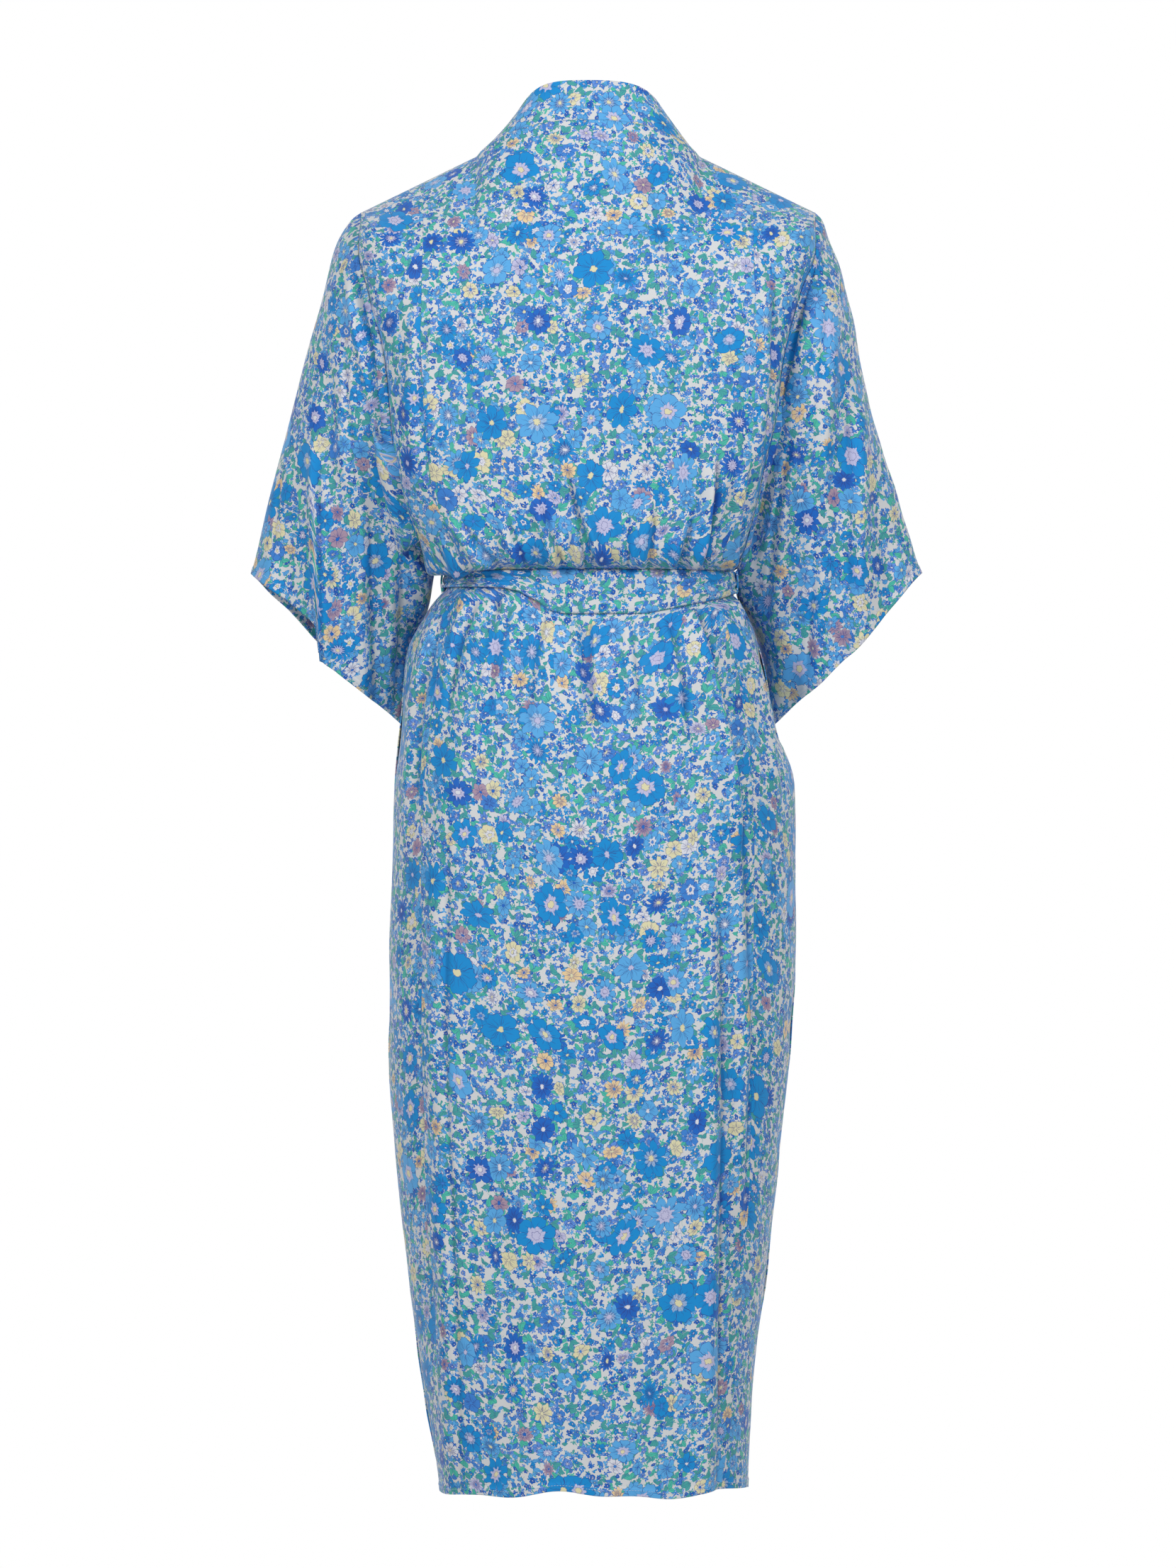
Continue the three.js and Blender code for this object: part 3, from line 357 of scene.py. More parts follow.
class Panel:
    """A body panel's surface. q runs from the middle (0) to the side edge (1), v down from the shoulder seam."""

    def __init__(self, face, side, overlap=False, under=False):
        self.face, self.side, self.overlap, self.under = face, side, overlap, under
        self.turn = face * side

    def base(self, q, v):
        q, v = np.broadcast_arrays(np.asarray(q, float), np.asarray(v, float))
        top, _ = across_place(self.side, np.full(q.shape, float(NECK_Z)), NECK_HALF if self.overlap else 0,
                              PANEL_HALF, np.maximum(q, 0))
        crest = crest_height(self.face, np.minimum(top, SHOULDER_HALF))
        z = np.where(v < FAN_LENGTH, mix(crest, LEVEL_Z, v / FAN_LENGTH), LEVEL_Z + FAN_LENGTH - v)
        inner = band_seam(z) if self.overlap else 0
        joint = body_half[self.side](z) * FLAT_SHARE if self.overlap else panel_half(z)
        x, share = across_place(self.side, z, inner, joint, q)
        return body_point(self.face, self.side * x, z, share)

    def normal(self, surface, q, v, step=0.004):
        across = surface(q + step, v) - surface(q - step, v)
        along = surface(q, v + 0.4) - surface(q, np.maximum(v - 0.4, 0))
        facing = np.cross(across, along) * self.turn
        return facing / np.maximum(np.linalg.norm(facing, axis=-1, keepdims=True), 1e-12)

    def cloth(self, q, v):
        q, v = np.broadcast_arrays(np.asarray(q, float), np.asarray(v, float))
        here = self.base(q, v)
        x, z = here[..., 0], here[..., 2]
        lift = body_lift(self.face, x, z, crest_height(self.face, np.abs(x)) - z)
        if self.under:
            lift = lift - UNDERLAP * smooth(0.95, 0.62, q) * smooth(-20, -130, z)
        lift = lift + hem_step(FULL_LENGTH - v)
        over_belt = np.exp(-(((z - BELT_TOP_Z - 9) / 8) ** 2))
        droop = DROOP * smooth(84, 122, x) * smooth(-30, 20, here[..., 1]) * over_belt
        return here + self.normal(self.base, q, v) * lift[..., None] - droop[..., None] * np.array([-0.12, 0, 1])


BACK = {side: Panel(1, side) for side in (1, -1)}
FRONT = {side: Panel(-1, side, overlap=True, under=side > 0) for side in (1, -1)}


def rows_down():
    fan = np.concatenate([[0, 1.5, 3.5], np.linspace(6, FAN_LENGTH, 40)])
    waist = np.arange(FAN_LENGTH + 4.5, FAN_LENGTH + 270, 3.4)
    skirt = np.arange(waist[-1] + 5, FULL_LENGTH - 12, 8.2)
    return np.concatenate([fan, waist, skirt, FULL_LENGTH - np.array(HEM_ROWS)])


ROWS = rows_down()


def hollow_shade(lift, reach=6):
    """Where the cloth dips below what lies beside it, 0 to 1. The material darkens the print there as painted shade in
    the folds' dips.
    """
    kernel = np.hanning(2 * reach + 3)[1:-1]
    padded = np.pad(lift, ((0, 0), (reach, reach)), mode="edge")
    around = sum(k * padded[:, i:i + lift.shape[1]] for i, k in enumerate(kernel / kernel.sum()))
    return np.clip((around - lift - 0.4) / 4.0, 0, 1)


def linen(name, node, grid, uv, material, outside=1, thick=1.1, crease_shade=None, closed=False):
    """A sheet of cloth as one mesh from a grid of points, with its print laid flat on it.

    A closed one joins its two sides. Its faces look out where outside is 1.
    """
    rows, columns = grid.shape[:2]
    index = np.arange(rows * columns).reshape(rows, columns)
    quads = np.stack([index[:-1, :-1], index[1:, :-1], index[1:, 1:], index[:-1, 1:]], axis=-1).reshape(-1, 4)
    if outside < 0:
        quads = quads[:, ::-1]
    kept = columns - 1 if closed else columns
    corners = quads // columns * kept + quads % columns % kept
    mesh = bpy.data.meshes.new(name)
    mesh.vertices.add(rows * kept)
    mesh.vertices.foreach_set("co", (grid[:, :kept].reshape(-1, 3) * MM).ravel())
    mesh.loops.add(quads.size)
    mesh.loops.foreach_set("vertex_index", corners.ravel())
    mesh.polygons.add(len(quads))
    mesh.polygons.foreach_set("loop_start", np.arange(0, quads.size, 4))
    mesh.update(calc_edges=True)
    layer = mesh.uv_layers.new(name="cloth")
    layer.uv.foreach_set("vector", (uv.reshape(-1, 2)[quads.ravel()] * MM).ravel())
    # painted shade: how far the cloth dips below its neighbours, which the material darkens
    depth = mesh.attributes.new("crease_shade", "FLOAT", "POINT")
    depth.data.foreach_set("value", np.zeros(rows * kept) if crease_shade is None else crease_shade[:, :kept].ravel())
    mesh.shade_smooth()
    mesh.materials.append(material)
    piece = bpy.data.objects.new(name, mesh)
    bpy.context.collection.objects.link(piece)
    wall = piece.modifiers.new("wall", "SOLIDIFY")
    wall.thickness, wall.offset = thick * MM, -1
    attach(piece, "root")
    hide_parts(node)
    return piece


def outward_sign(grid, centre=None):
    """1 if the grid's faces look away from a centre, or from the garment's own axis, else -1."""
    i, j = grid.shape[0] // 2, grid.shape[1] // 2
    down = grid[i + 1, j] - grid[i, j]
    across = grid[i, j + 1] - grid[i, j]
    away = grid[i, j] * [1, 1, 0] if centre is None else grid[i, j] - centre
    return 1 if np.dot(np.cross(down, across), away) > 0 else -1


def run_length(points, axis):
    legs = np.linalg.norm(np.diff(points, axis=axis), axis=-1)
    return np.concatenate([np.zeros_like(np.take(legs, [0], axis=axis)), np.cumsum(legs, axis=axis)], axis=axis)


def paint(colour):
    """An sRGB colour, 0 to 1, as the linear one that a shader takes."""
    return tuple(c / 12.92 if c <= 0.04045 else ((c + 0.055) / 1.055) ** 2.4 for c in colour[:3]) + (1.0,)


GROUND, CERULEAN, CORNFLOWER = (0.86, 0.87, 0.88), (0.02, 0.57, 0.86), (0.24, 0.53, 0.86)
PERIWINKLE, SKY, COBALT = (0.38, 0.59, 0.91), (0.36, 0.69, 0.93), (0.09, 0.42, 0.80)
TEAL, AQUA, YELLOW = (0.28, 0.67, 0.66), (0.30, 0.77, 0.68), (0.90, 0.88, 0.72)
LILAC, MAUVE, PEACH, WHITE = (0.78, 0.78, 0.91), (0.70, 0.60, 0.68), (0.94, 0.83, 0.64), (0.89, 0.90, 0.94)
INK = paint((0.17, 0.24, 0.56))
# what the print is multiplied by where the cloth dips deepest: painted shade
CREASE_SHADE_COLOUR = (0.22, 0.3, 0.42, 1)
# how unevenly the flowers' cells lie, and one turn as the print takes it
CELL_SPREAD, FULL_TURN = 0.85, 6.283


def shader_node(tree, kind, inputs=(), **settings):
    """A shader node with its settings. Each input is its name or place, and a value or a socket to link."""
    node = tree.nodes.new("ShaderNode" + kind)
    for name, value in settings.items():
        setattr(node, name, value)
    for key, value in inputs:
        if isinstance(value, bpy.types.NodeSocket):
            tree.links.new(value, node.inputs[key])
        else:
            node.inputs[key].default_value = value
    return node


class Print:
    """Builds the printed pattern: flowers, leaves and buds in layers, each scattered in its own cells."""

    def __init__(self, name):
        self.group = bpy.data.node_groups.new(name, "ShaderNodeTree")
        self.group.interface.new_socket("Coord", in_out="INPUT", socket_type="NodeSocketVector")
        self.group.interface.new_socket("Color", in_out="OUTPUT", socket_type="NodeSocketColor")

    def node(self, kind, inputs=(), **settings):
        return shader_node(self.group, kind, inputs, **settings)

    def math(self, kind, *values):
        return self.node("Math", enumerate(values), operation=kind).outputs[0]

    add, less, mul = partialmethod(math, "ADD"), partialmethod(math, "SUBTRACT"), partialmethod(math, "MULTIPLY")
    size, ratio, most = partialmethod(math, "ABSOLUTE"), partialmethod(math, "DIVIDE"), partialmethod(math, "MAXIMUM")
    below, whole = partialmethod(math, "LESS_THAN"), partialmethod(math, "FLOOR")
    scaled = partialmethod(math, "MULTIPLY_ADD")

    def step(self, value, low, high):
        """0 at low and 1 at high, with a smooth passage."""
        return self.node("MapRange", enumerate((value, low, high)), interpolation_type="SMOOTHSTEP").outputs[0]

    def line(self, distance, half):
        """1 on a line, 0 past its half width."""
        return self.step(self.size(distance), half, half * 0.35)

    def over(self, share, under, colour):
        return self.node("Mix", ((0, share), (6, under), (7, colour)), data_type="RGBA").outputs[2]

    def pick(self, chance, colours):
        node = self.node("ValToRGB", [(0, chance)])
        node.color_ramp.interpolation = "CONSTANT"
        ramp = node.color_ramp.elements
        ramp.remove(ramp[-1])
        for i, colour in enumerate(colours):
            item = ramp[0] if i == 0 else ramp.new(i / len(colours))
            item.color = paint(colour)
        return node.outputs[0]

    def again(self, chance, times, start):
        """Another chance, 0 to 1, from one of a cell's own."""
        return self.math("FRACT", self.scaled(chance, times, start))

    def between(self, low, high, chance):
        return self.scaled(chance, high - low, low)

    def cells(self, coord, size, shift):
        """The place inside the nearest cell, turned by the cell's own angle, and the cell's three chances."""
        moved = self.node("VectorMath", ((0, coord), (1, (shift, shift * 1.7, 0)))).outputs[0]
        cell = self.node("TexVoronoi", (("Scale", 1 / size), ("Randomness", CELL_SPREAD), ("Vector", moved)),
                         voronoi_dimensions="2D", feature="F1")
        local = self.node("VectorMath", ((0, moved), (1, cell.outputs["Position"])), operation="SUBTRACT")
        chance = self.node("SeparateColor", [(0, cell.outputs["Color"])]).outputs
        angle = self.mul(chance[0], FULL_TURN)
        turn = self.node("VectorRotate", (("Vector", local.outputs[0]), ("Angle", angle)), rotation_type="Z_AXIS")
        split = self.node("SeparateXYZ", [(0, turn.outputs[0])]).outputs
        return split[0], split[1], chance

    def polar(self, x, y):
        return self.math("ARCTAN2", y, x), self.math("SQRT", self.add(self.mul(x, x), self.mul(y, y)))

    def petals(self, angle, count, power):
        beat = self.size(self.math("COSINE", self.mul(self.mul(angle, count), 0.5)))
        return beat, self.math("POWER", beat, power)

    def bloom(self, under, coord, size, radius, count, fill, shift, tones, hearts, line, ring=None, round_ends=0.4):
        """A flower in a share of the cells. Few petals are broad and round, many are narrow."""
        x, y, chance = self.cells(coord, size, shift)
        y = self.mul(y, self.between(1.0, 1.55, self.again(chance[2], 5.3, 0.1)))
        angle, reach = self.polar(x, y)
        many = self.again(chance[1], 7.7, 0.3)
        number = self.whole(self.between(count[0], count[1] + 0.99, many))
        beat, lobe = self.petals(angle, number, self.between(round_ends, round_ends + 0.45, many))
        notch = self.between(0.24, 0.46, many)
        ripple = self.mul(self.math("SINE", self.scaled(angle, 17.0, self.mul(reach, 0.4))), 0.03)
        shape = self.add(self.less(1.0, self.mul(notch, self.less(1.0, lobe))), ripple)
        edge = self.mul(self.mul(self.between(0.72, 1.08, self.again(chance[2], 3.1, 0.6)), radius), shape)
        gap = self.less(edge, reach)
        inside = self.ratio(reach, edge)
        mask = self.mul(self.step(gap, -line, -line * 0.4), self.below(chance[1], fill))
        tone = self.pick(self.again(chance[1], 11.3, 0.2), tones)
        across = self.ratio(reach, number)
        bars = self.size(self.math("SINE", self.mul(self.mul(angle, number), 1.5)))
        vein = self.mul(self.line(self.mul(self.mul(bars, across), 0.67), line * 0.8), self.step(inside, 0.26, 0.32))
        vein = self.mul(vein, self.step(inside, 0.8, 0.5))
        joint = self.mul(self.line(self.mul(self.mul(beat, across), 2.0), line), self.step(inside, 0.2, 0.3))
        lit = self.mul(self.step(inside, 0.44, 0.4), self.below(self.again(chance[0], 4.3, 0.7), 0.4))
        shade = self.over(self.mul(lit, 0.45), tone, paint(WHITE))
        inked = self.most(self.line(gap, line), self.most(self.mul(vein, 0.75), joint))
        colour = self.over(self.mul(inked, 0.8), shade, INK)
        if ring:
            star, tips = self.petals(angle, self.mul(number, 2.0), 0.7)
            second = self.less(self.mul(self.mul(edge, 0.5), self.scaled(tips, 0.4, 0.6)), reach)
            held = self.mul(self.step(second, -0.15, 0.15), self.below(self.again(chance[2], 9.7, 0.2), 0.38))
            spoke = self.most(self.line(self.mul(star, reach), line), self.line(second, line))
            colour = self.over(held, colour, self.over(self.mul(spoke, 0.7), paint(ring), INK))
        heart = self.less(self.mul(edge, 0.2), reach)
        colour = self.over(self.step(heart, -0.15, 0.15), colour, self.pick(self.again(chance[0], 9.1, 0.4), hearts))
        colour = self.over(self.mul(self.line(heart, line), 0.65), colour, INK)
        return self.over(mask, under, colour)

    def leaf(self, under, coord, size, long, wide, fill, shift, tones, line=0.26, pair=0.0):
        """A leaf with its spine, or a pair of leaves that open from a stem."""
        x, y, chance = self.cells(coord, size, shift)
        length = self.mul(self.between(0.75, 1.1, self.again(chance[2], 4.7, 0.2)), long)
        stem = None
        if pair:
            folded = self.size(y)
            stem = self.line(self.less(y, self.mul(self.mul(x, x), 0.02)), line)
            stem = self.mul(stem, self.step(self.size(x), long * 1.25, long * 1.15))
            x, y = (
                self.add(self.mul(x, math.cos(pair)), self.mul(folded, math.sin(pair))),
                self.less(self.mul(folded, math.cos(pair)), self.mul(x, math.sin(pair))),
            )
            x = self.less(x, self.mul(length, 0.95))
        along = self.ratio(x, length)
        bow = self.less(y, self.mul(self.mul(along, along), wide * 0.3))
        belly = self.mul(self.less(1.0, self.math("POWER", self.size(along), 1.7)), wide)
        gap = self.less(belly, self.size(bow))
        held = self.below(chance[1], fill)
        inked = self.most(self.mul(self.line(bow, line), 0.8), self.line(gap, line))
        colour = self.over(self.mul(inked, 0.62), self.pick(self.again(chance[1], 8.9, 0.15), tones), INK)
        if stem is not None:
            under = self.over(self.mul(self.mul(stem, held), 0.7), under, paint(TEAL))
        return self.over(self.mul(self.step(gap, -line, -line * 0.3), held), under, colour)

    def sprig(self, under, coord, size, radius, fill, shift, tones, power=1.4):
        """Three to five narrow leaflets or petals round one point."""
        x, y, chance = self.cells(coord, size, shift)
        angle, reach = self.polar(x, y)
        _, lobe = self.petals(angle, self.whole(self.between(3.0, 5.99, self.again(chance[1], 5.1, 0.2))), power)
        gap = self.less(self.mul(self.scaled(lobe, 0.84, 0.16), radius), reach)
        mask = self.mul(self.step(gap, -0.22, -0.04), self.below(chance[2], fill))
        tone = self.pick(self.again(chance[1], 6.7, 0.35), tones)
        return self.over(mask, under, self.over(self.mul(self.line(gap, 0.26), 0.55), tone, INK))


def ditsy_print():
    """Eleven layers from small leaves to large flowers. Sizes of cells and motifs are in millimetres."""
    p = Print("ditsy print")
    flat = p.group.nodes.new("NodeGroupInput").outputs[0]
    noise = p.node("TexNoise", (("Scale", 0.13), ("Detail", 2.0), ("Vector", flat)), noise_dimensions="2D")
    bent = ((0, noise.outputs["Color"]), (1, (4.5, 4.5, 0)), (2, flat))
    at = p.node("VectorMath", bent, operation="MULTIPLY_ADD").outputs[0]
    c = paint(GROUND)
    c = p.sprig(c, at, 6.0, 2.7, 0.62, 11.0, [TEAL, AQUA, SKY, CORNFLOWER, TEAL])
    c = p.sprig(c, at, 5.0, 2.2, 0.6, 57.0, [CORNFLOWER, COBALT, PERIWINKLE, CERULEAN, SKY], 0.8)
    c = p.leaf(c, at, 10.5, 3.1, 1.5, 0.62, 23.0, [TEAL, AQUA, TEAL, SKY], pair=0.75)
    c = p.leaf(c, at, 8.5, 3.8, 1.7, 0.45, 71.0, [AQUA, TEAL, SKY, CORNFLOWER])
    tones = [COBALT, CORNFLOWER, CERULEAN, COBALT, PERIWINKLE]
    c = p.bloom(c, at, 6.8, 2.9, (4, 5), 0.36, 31.0, tones, [YELLOW, WHITE], 0.22)
    c = p.leaf(c, at, 15.0, 4.6, 2.1, 0.5, 137.0, [TEAL, AQUA, TEAL], pair=0.6)
    tones = [CORNFLOWER, CERULEAN, CERULEAN, SKY, PERIWINKLE]
    c = p.bloom(c, at, 13.5, 5.2, (5, 6), 0.36, 41.0, tones, [WHITE, YELLOW, LILAC], 0.28)
    tones = [LILAC, YELLOW, WHITE, MAUVE, SKY, PEACH]
    c = p.bloom(c, at, 26.0, 8.6, (6, 12), 0.42, 5.0, tones, [YELLOW, COBALT, CORNFLOWER], 0.3, round_ends=0.5)
    tones = [SKY, CORNFLOWER, CERULEAN, SKY, YELLOW, SKY, CERULEAN]
    c = p.bloom(c, at, 27.0, 9.8, (5, 7), 0.42, 17.0, tones, [WHITE, YELLOW, CORNFLOWER], 0.33, ring=WHITE)
    tones, hearts = [COBALT, SKY, CERULEAN, COBALT, SKY], [YELLOW, WHITE, LILAC]
    c = p.bloom(c, at, 41.0, 13.2, (8, 13), 0.5, 63.0, tones, hearts, 0.38, ring=LILAC, round_ends=0.6)
    tones, hearts = [CERULEAN, CERULEAN, CERULEAN, SKY], [YELLOW, LILAC, YELLOW]
    c = p.bloom(c, at, 58.0, 18.5, (5, 8), 0.6, 211.0, tones, hearts, 0.4, ring=LILAC, round_ends=0.5)
    p.group.links.new(c, p.group.nodes.new("NodeGroupOutput").inputs[0])
    return p.group


def cloth_material(name, group, turn=0.0, rough=0.58):
    """The print, darkened by painted shade where the cloth dips, on a soft cloth with a fine crepe."""
    material = bpy.data.materials.new(name)
    material.use_nodes = True
    tree = material.node_tree
    shader = tree.nodes["Principled BSDF"].inputs
    shader["Roughness"].default_value = rough
    shader["Specular IOR Level"].default_value = 0.3
    shader["Sheen Weight"].default_value = 0.12
    shader["Sheen Roughness"].default_value = 0.5
    laid = shader_node(tree, "UVMap", uv_map="cloth").outputs[0]
    scaled = ((0, laid), ("Scale", (1 / MM, 1 / MM, 1 / MM)), ("Rotation", (0, 0, turn)))
    place = shader_node(tree, "Mapping", scaled).outputs[0]
    printed = shader_node(tree, "Group", node_tree=group)
    tree.links.new(place, printed.inputs[0])
    # painted shade: the print is multiplied towards a dark blue where the cloth dips
    crease_shade = shader_node(tree, "Attribute", attribute_name="crease_shade").outputs["Fac"]
    shade_inputs = ((0, crease_shade), (6, printed.outputs[0]), (7, CREASE_SHADE_COLOUR))
    shaded_print = shader_node(tree, "Mix", shade_inputs, data_type="RGBA", blend_type="MULTIPLY")
    crepe = shader_node(tree, "TexNoise", (("Scale", 0.9), ("Detail", 3), ("Vector", place)))
    bump = shader_node(tree, "Bump", (("Strength", 0.18), ("Distance", 0.0004), ("Height", crepe.outputs[0])))
    tree.links.new(shaded_print.outputs[2], shader["Base Color"])
    tree.links.new(bump.outputs[0], shader["Normal"])
    return material


pattern = ditsy_print()
cloth_look = cloth_material("printed viscose", pattern)
sleeve_look = cloth_material("printed viscose, sleeve", pattern, turn=1.45)
band_look = cloth_material("printed viscose, band", pattern, turn=1.57)
belt_look = cloth_material("printed viscose, belt", pattern, turn=0.1, rough=0.55)

# the columns of the panels, each by its q

centre = np.unique(np.concatenate([np.linspace(0, CENTRE_SHARE, 92), CENTRE_SHARE - np.array([0.005, 0.002])]))
outer = np.unique(np.concatenate([np.linspace(CENTRE_SHARE, 1, 58), CENTRE_SHARE + np.array([0.002])]))
whole = np.unique(np.concatenate([[0, 0.003], np.linspace(0, CENTRE_SHARE, 92), np.linspace(CENTRE_SHARE, 1, 50)]))


def panel_piece(name, node, parts, flat):
    """A body panel from its columns, each a Panel and its q."""
    columns = [(panel, q) for panel, qs in parts for q in qs]

    def stack(form):
        return np.stack([form(panel, np.full(len(ROWS), q), ROWS) for panel, q in columns], axis=1)

    grid, smooth_form = stack(Panel.cloth), stack(Panel.base)
    moved = grid - smooth_form
    lift = np.linalg.norm(moved, axis=-1) * np.sign((moved * smooth_form * [1, 1, 0]).sum(axis=-1))
    fall = run_length(smooth_form, 0)
    fall = fall - fall[ROWS == FAN_LENGTH]
    z = grid[..., 2]
    panel, q = columns[0]
    start = band_seam(z) if panel.overlap else flat_centre(z) if q > 0 and len(parts) == 1 else 0 * z
    across = run_length(grid, 1)
    across = across - across[:, [np.argmin([abs(q) for _, q in columns])]]
    along = columns[-1][0].side * start + across * (1 if len(parts) == 2 else panel.side)
    uv = np.stack([along, -fall], axis=-1) + np.array(PRINT_SHIFT[node])
    turn = outward_sign(grid)
    # with painted shade where the panel's folds dip
    piece = linen(name, node, grid, uv, cloth_look, outside=turn, crease_shade=hollow_shade(lift))
    normals = grid_normals(grid, turn)
    row = np.searchsorted(ROWS, FULL_LENGTH - STITCH_EDGE)
    hem, out = (rows[row - 1:row + 1].mean(axis=0) for rows in (grid, normals))
    hem = stitches(f"{node}_hem_stitches", hem, out)
    return piece


def sleeve_bare(side, t, angle):
    """A sleeve without its folds. t runs from the armhole to the cuff, the angle from the top line over the back."""
    left, right, top_z, top_y, low_x, low_z, low_y, deep = (read(t) for read in sleeve_track)
    top_x = left if side > 0 else right
    if side < 0:
        close = smooth(0, 0.08, t) * smooth(0.4, 0.14, t)
        low_x, low_y = low_x - 7 * close, low_y - 14 * close
    c = np.cos(angle)
    x = (top_x + low_x) / 2 + (top_x - low_x) / 2 * c
    y = (top_y + low_y) / 2 + (top_y - low_y) / 2 * c + deep * np.sin(angle)
    z = (top_z + low_z) / 2 + (top_z - low_z) / 2 * c
    return np.stack([side * x, y, z], axis=-1)


def armhole_edge(side, angle):
    """The body's own edge, by the angle round the armhole."""
    z = mix(UNDERARM_Z, SHOULDER_Z, 0.5 + 0.5 * np.cos(angle))
    drop = SHOULDER_Z - z
    reach = SHOULDER_Z - LEVEL_Z
    v = np.where(drop < reach, drop / reach * FAN_LENGTH, FAN_LENGTH + drop - reach)
    back = BACK[side].cloth(np.ones(v.shape), v)
    front = FRONT[side].cloth(np.ones(v.shape), v)
    return np.where((np.sin(angle) >= 0)[..., None], back, front)


def sleeve_point(side, t, angle):
    t, angle = np.broadcast_arrays(np.asarray(t, float), np.asarray(angle, float))
    return sleeve_bare(side, t, angle) + JOIN[side](angle) * smooth(0.2, 0, t)[..., None]


def join_curve(side):
    """How far the body's own edge lies from the bare ring, by the angle round the armhole."""
    at = np.linspace(-np.pi, np.pi, 721)
    gap = armhole_edge(side, at) - sleeve_bare(side, np.zeros(at.shape), at)
    gap[:, 0] += side * 0.2
    return lambda angle: np.stack([np.interp(angle, at, gap[:, i]) for i in range(3)], axis=-1)


JOIN = {side: join_curve(side) for side in (1, -1)}


def tube_print(here, axis):
    """The print's place on a tube: round its sections square to the axis, and along the axis."""
    down = here @ axis
    levels = np.linspace(down.min(), down.max(), 260)
    lines = [[np.interp(levels, down[:, j], here[:, j, i]) for i in range(3)] for j in range(here.shape[1])]
    legs = np.diff(np.array(lines), axis=0)
    legs = legs - np.einsum("jil,i->jl", legs, axis)[:, None] * axis[None, :, None]
    around = np.cumsum(np.linalg.norm(legs, axis=1), axis=0)
    around = np.concatenate([0 * around[:1], around]) - around[here.shape[1] // 2 - 1]
    across = np.stack([np.interp(down[:, j], levels, around[j]) for j in range(here.shape[1])], axis=1)
    return np.stack([across, -down], axis=-1)


def sleeve_piece(side, name, node):
    angle = np.linspace(-np.pi, np.pi, 225)[None, :]
    t = np.concatenate([[0, 0.004, 0.01], np.linspace(0.02, 0.94, 74), np.linspace(0.95, 1, 16)])[:, None]
    here = sleeve_point(side, t, angle)
    along = sleeve_point(side, np.minimum(t + 0.004, 1), angle) - sleeve_point(side, np.maximum(t - 0.004, 0), angle)
    turned = np.clip(angle, -3.13, 3.13)
    around = sleeve_point(side, t, turned + 0.01) - sleeve_point(side, t, turned - 0.01)
    normal = np.cross(along, around) * side
    normal /= np.linalg.norm(normal, axis=-1, keepdims=True)
    x, z = np.abs(here[..., 0]), here[..., 2]
    fine = LEFT_SLEEVE_FINE if side > 0 else RIGHT_SLEEVE_FINE
    flat_side = smooth(0.1, 0.6, np.abs(np.sin(angle)))
    behind = smooth(0.05, 0.4, np.sin(angle))
    past = x - body_half[side](z)
    drawn_in = smooth(0, 4, past) * smooth(17, 6, past) * smooth(-60, -120, z) * smooth(-350, -320, z)
    soft = 0.9 * wrinkle(x, z, 21 + side, 60, 240) + 0.4 * wrinkle(x, z, 31 + side, 30, 110)
    lift = fold_lift(SLEEVE_FOLDS, x, z) * flat_side * smooth(0.02, 0.2, t)
    lift = lift + fold_lift(fine, x, z, 0.2, 0.2, 0.3) * behind * smooth(1, 9, past) * smooth(0, 0.05, t)
    lift = lift - ARMHOLE_HOLLOW * drawn_in * flat_side * smooth(0, 0.03, t) + soft * smooth(0.02, 0.25, t)
    left = run_length(here, 0)
    left = left[-1] - left
    grid = here + normal * (lift + hem_step(left))[..., None]
    # the left cuff is cut in two slopes with a step between, the right one in a shallow curve
    if side > 0:
        outer_part = STEP_OUTER * np.clip((303 - x) / 58, 0, 1)
        inner_part = -STEP_INNER * np.clip((x - 177) / 66, 0, 1)
        shift = mix(inner_part, outer_part, smooth(CUFF_STEP_X - 1.6, CUFF_STEP_X + 1.6, x))
        grid[..., 2] += shift * behind * smooth(0.5, 1, t)
    else:
        grid[..., 2] -= 6 * smooth(300, 270, x) * smooth(180, 215, x) * behind * smooth(0.5, 1, t)
    axis = here[-1].mean(axis=0) - here[0].mean(axis=0)
    axis /= np.linalg.norm(axis)
    uv = tube_print(here + normal * lift[..., None], axis) + np.array(PRINT_SHIFT[node])
    turn = outward_sign(grid, grid.mean(axis=(0, 1)))
    # painted shade where the sleeve's folds dip, round the sleeve and along it
    crease_shade = np.maximum(hollow_shade(lift, 5), hollow_shade(lift.T, 3).T)
    piece = linen(name, node, grid, uv, sleeve_look, outside=turn, crease_shade=crease_shade, closed=True)
    row = np.argmin(np.abs(left.mean(axis=1) - STITCH_EDGE))
    cuff = stitches(f"{node}_cuff_stitches", grid[row], grid_normals(grid, turn)[row])
    return piece


def neck_lean(side, share):
    """The way the band stands, from the nape (0) to the neck's corner (1)."""
    share = np.asarray(share, float)[..., None] ** 2
    inward = np.where(side > 0, 0.84, 0.66)
    nape = np.array([0, -0.4, 0.92])
    neck = np.stack([-inward * side, -0.12 + 0 * side, 0.74 + 0 * side], axis=-1)
    lean = nape + (neck - nape) * share
    return lean / np.linalg.norm(lean, axis=-1, keepdims=True)


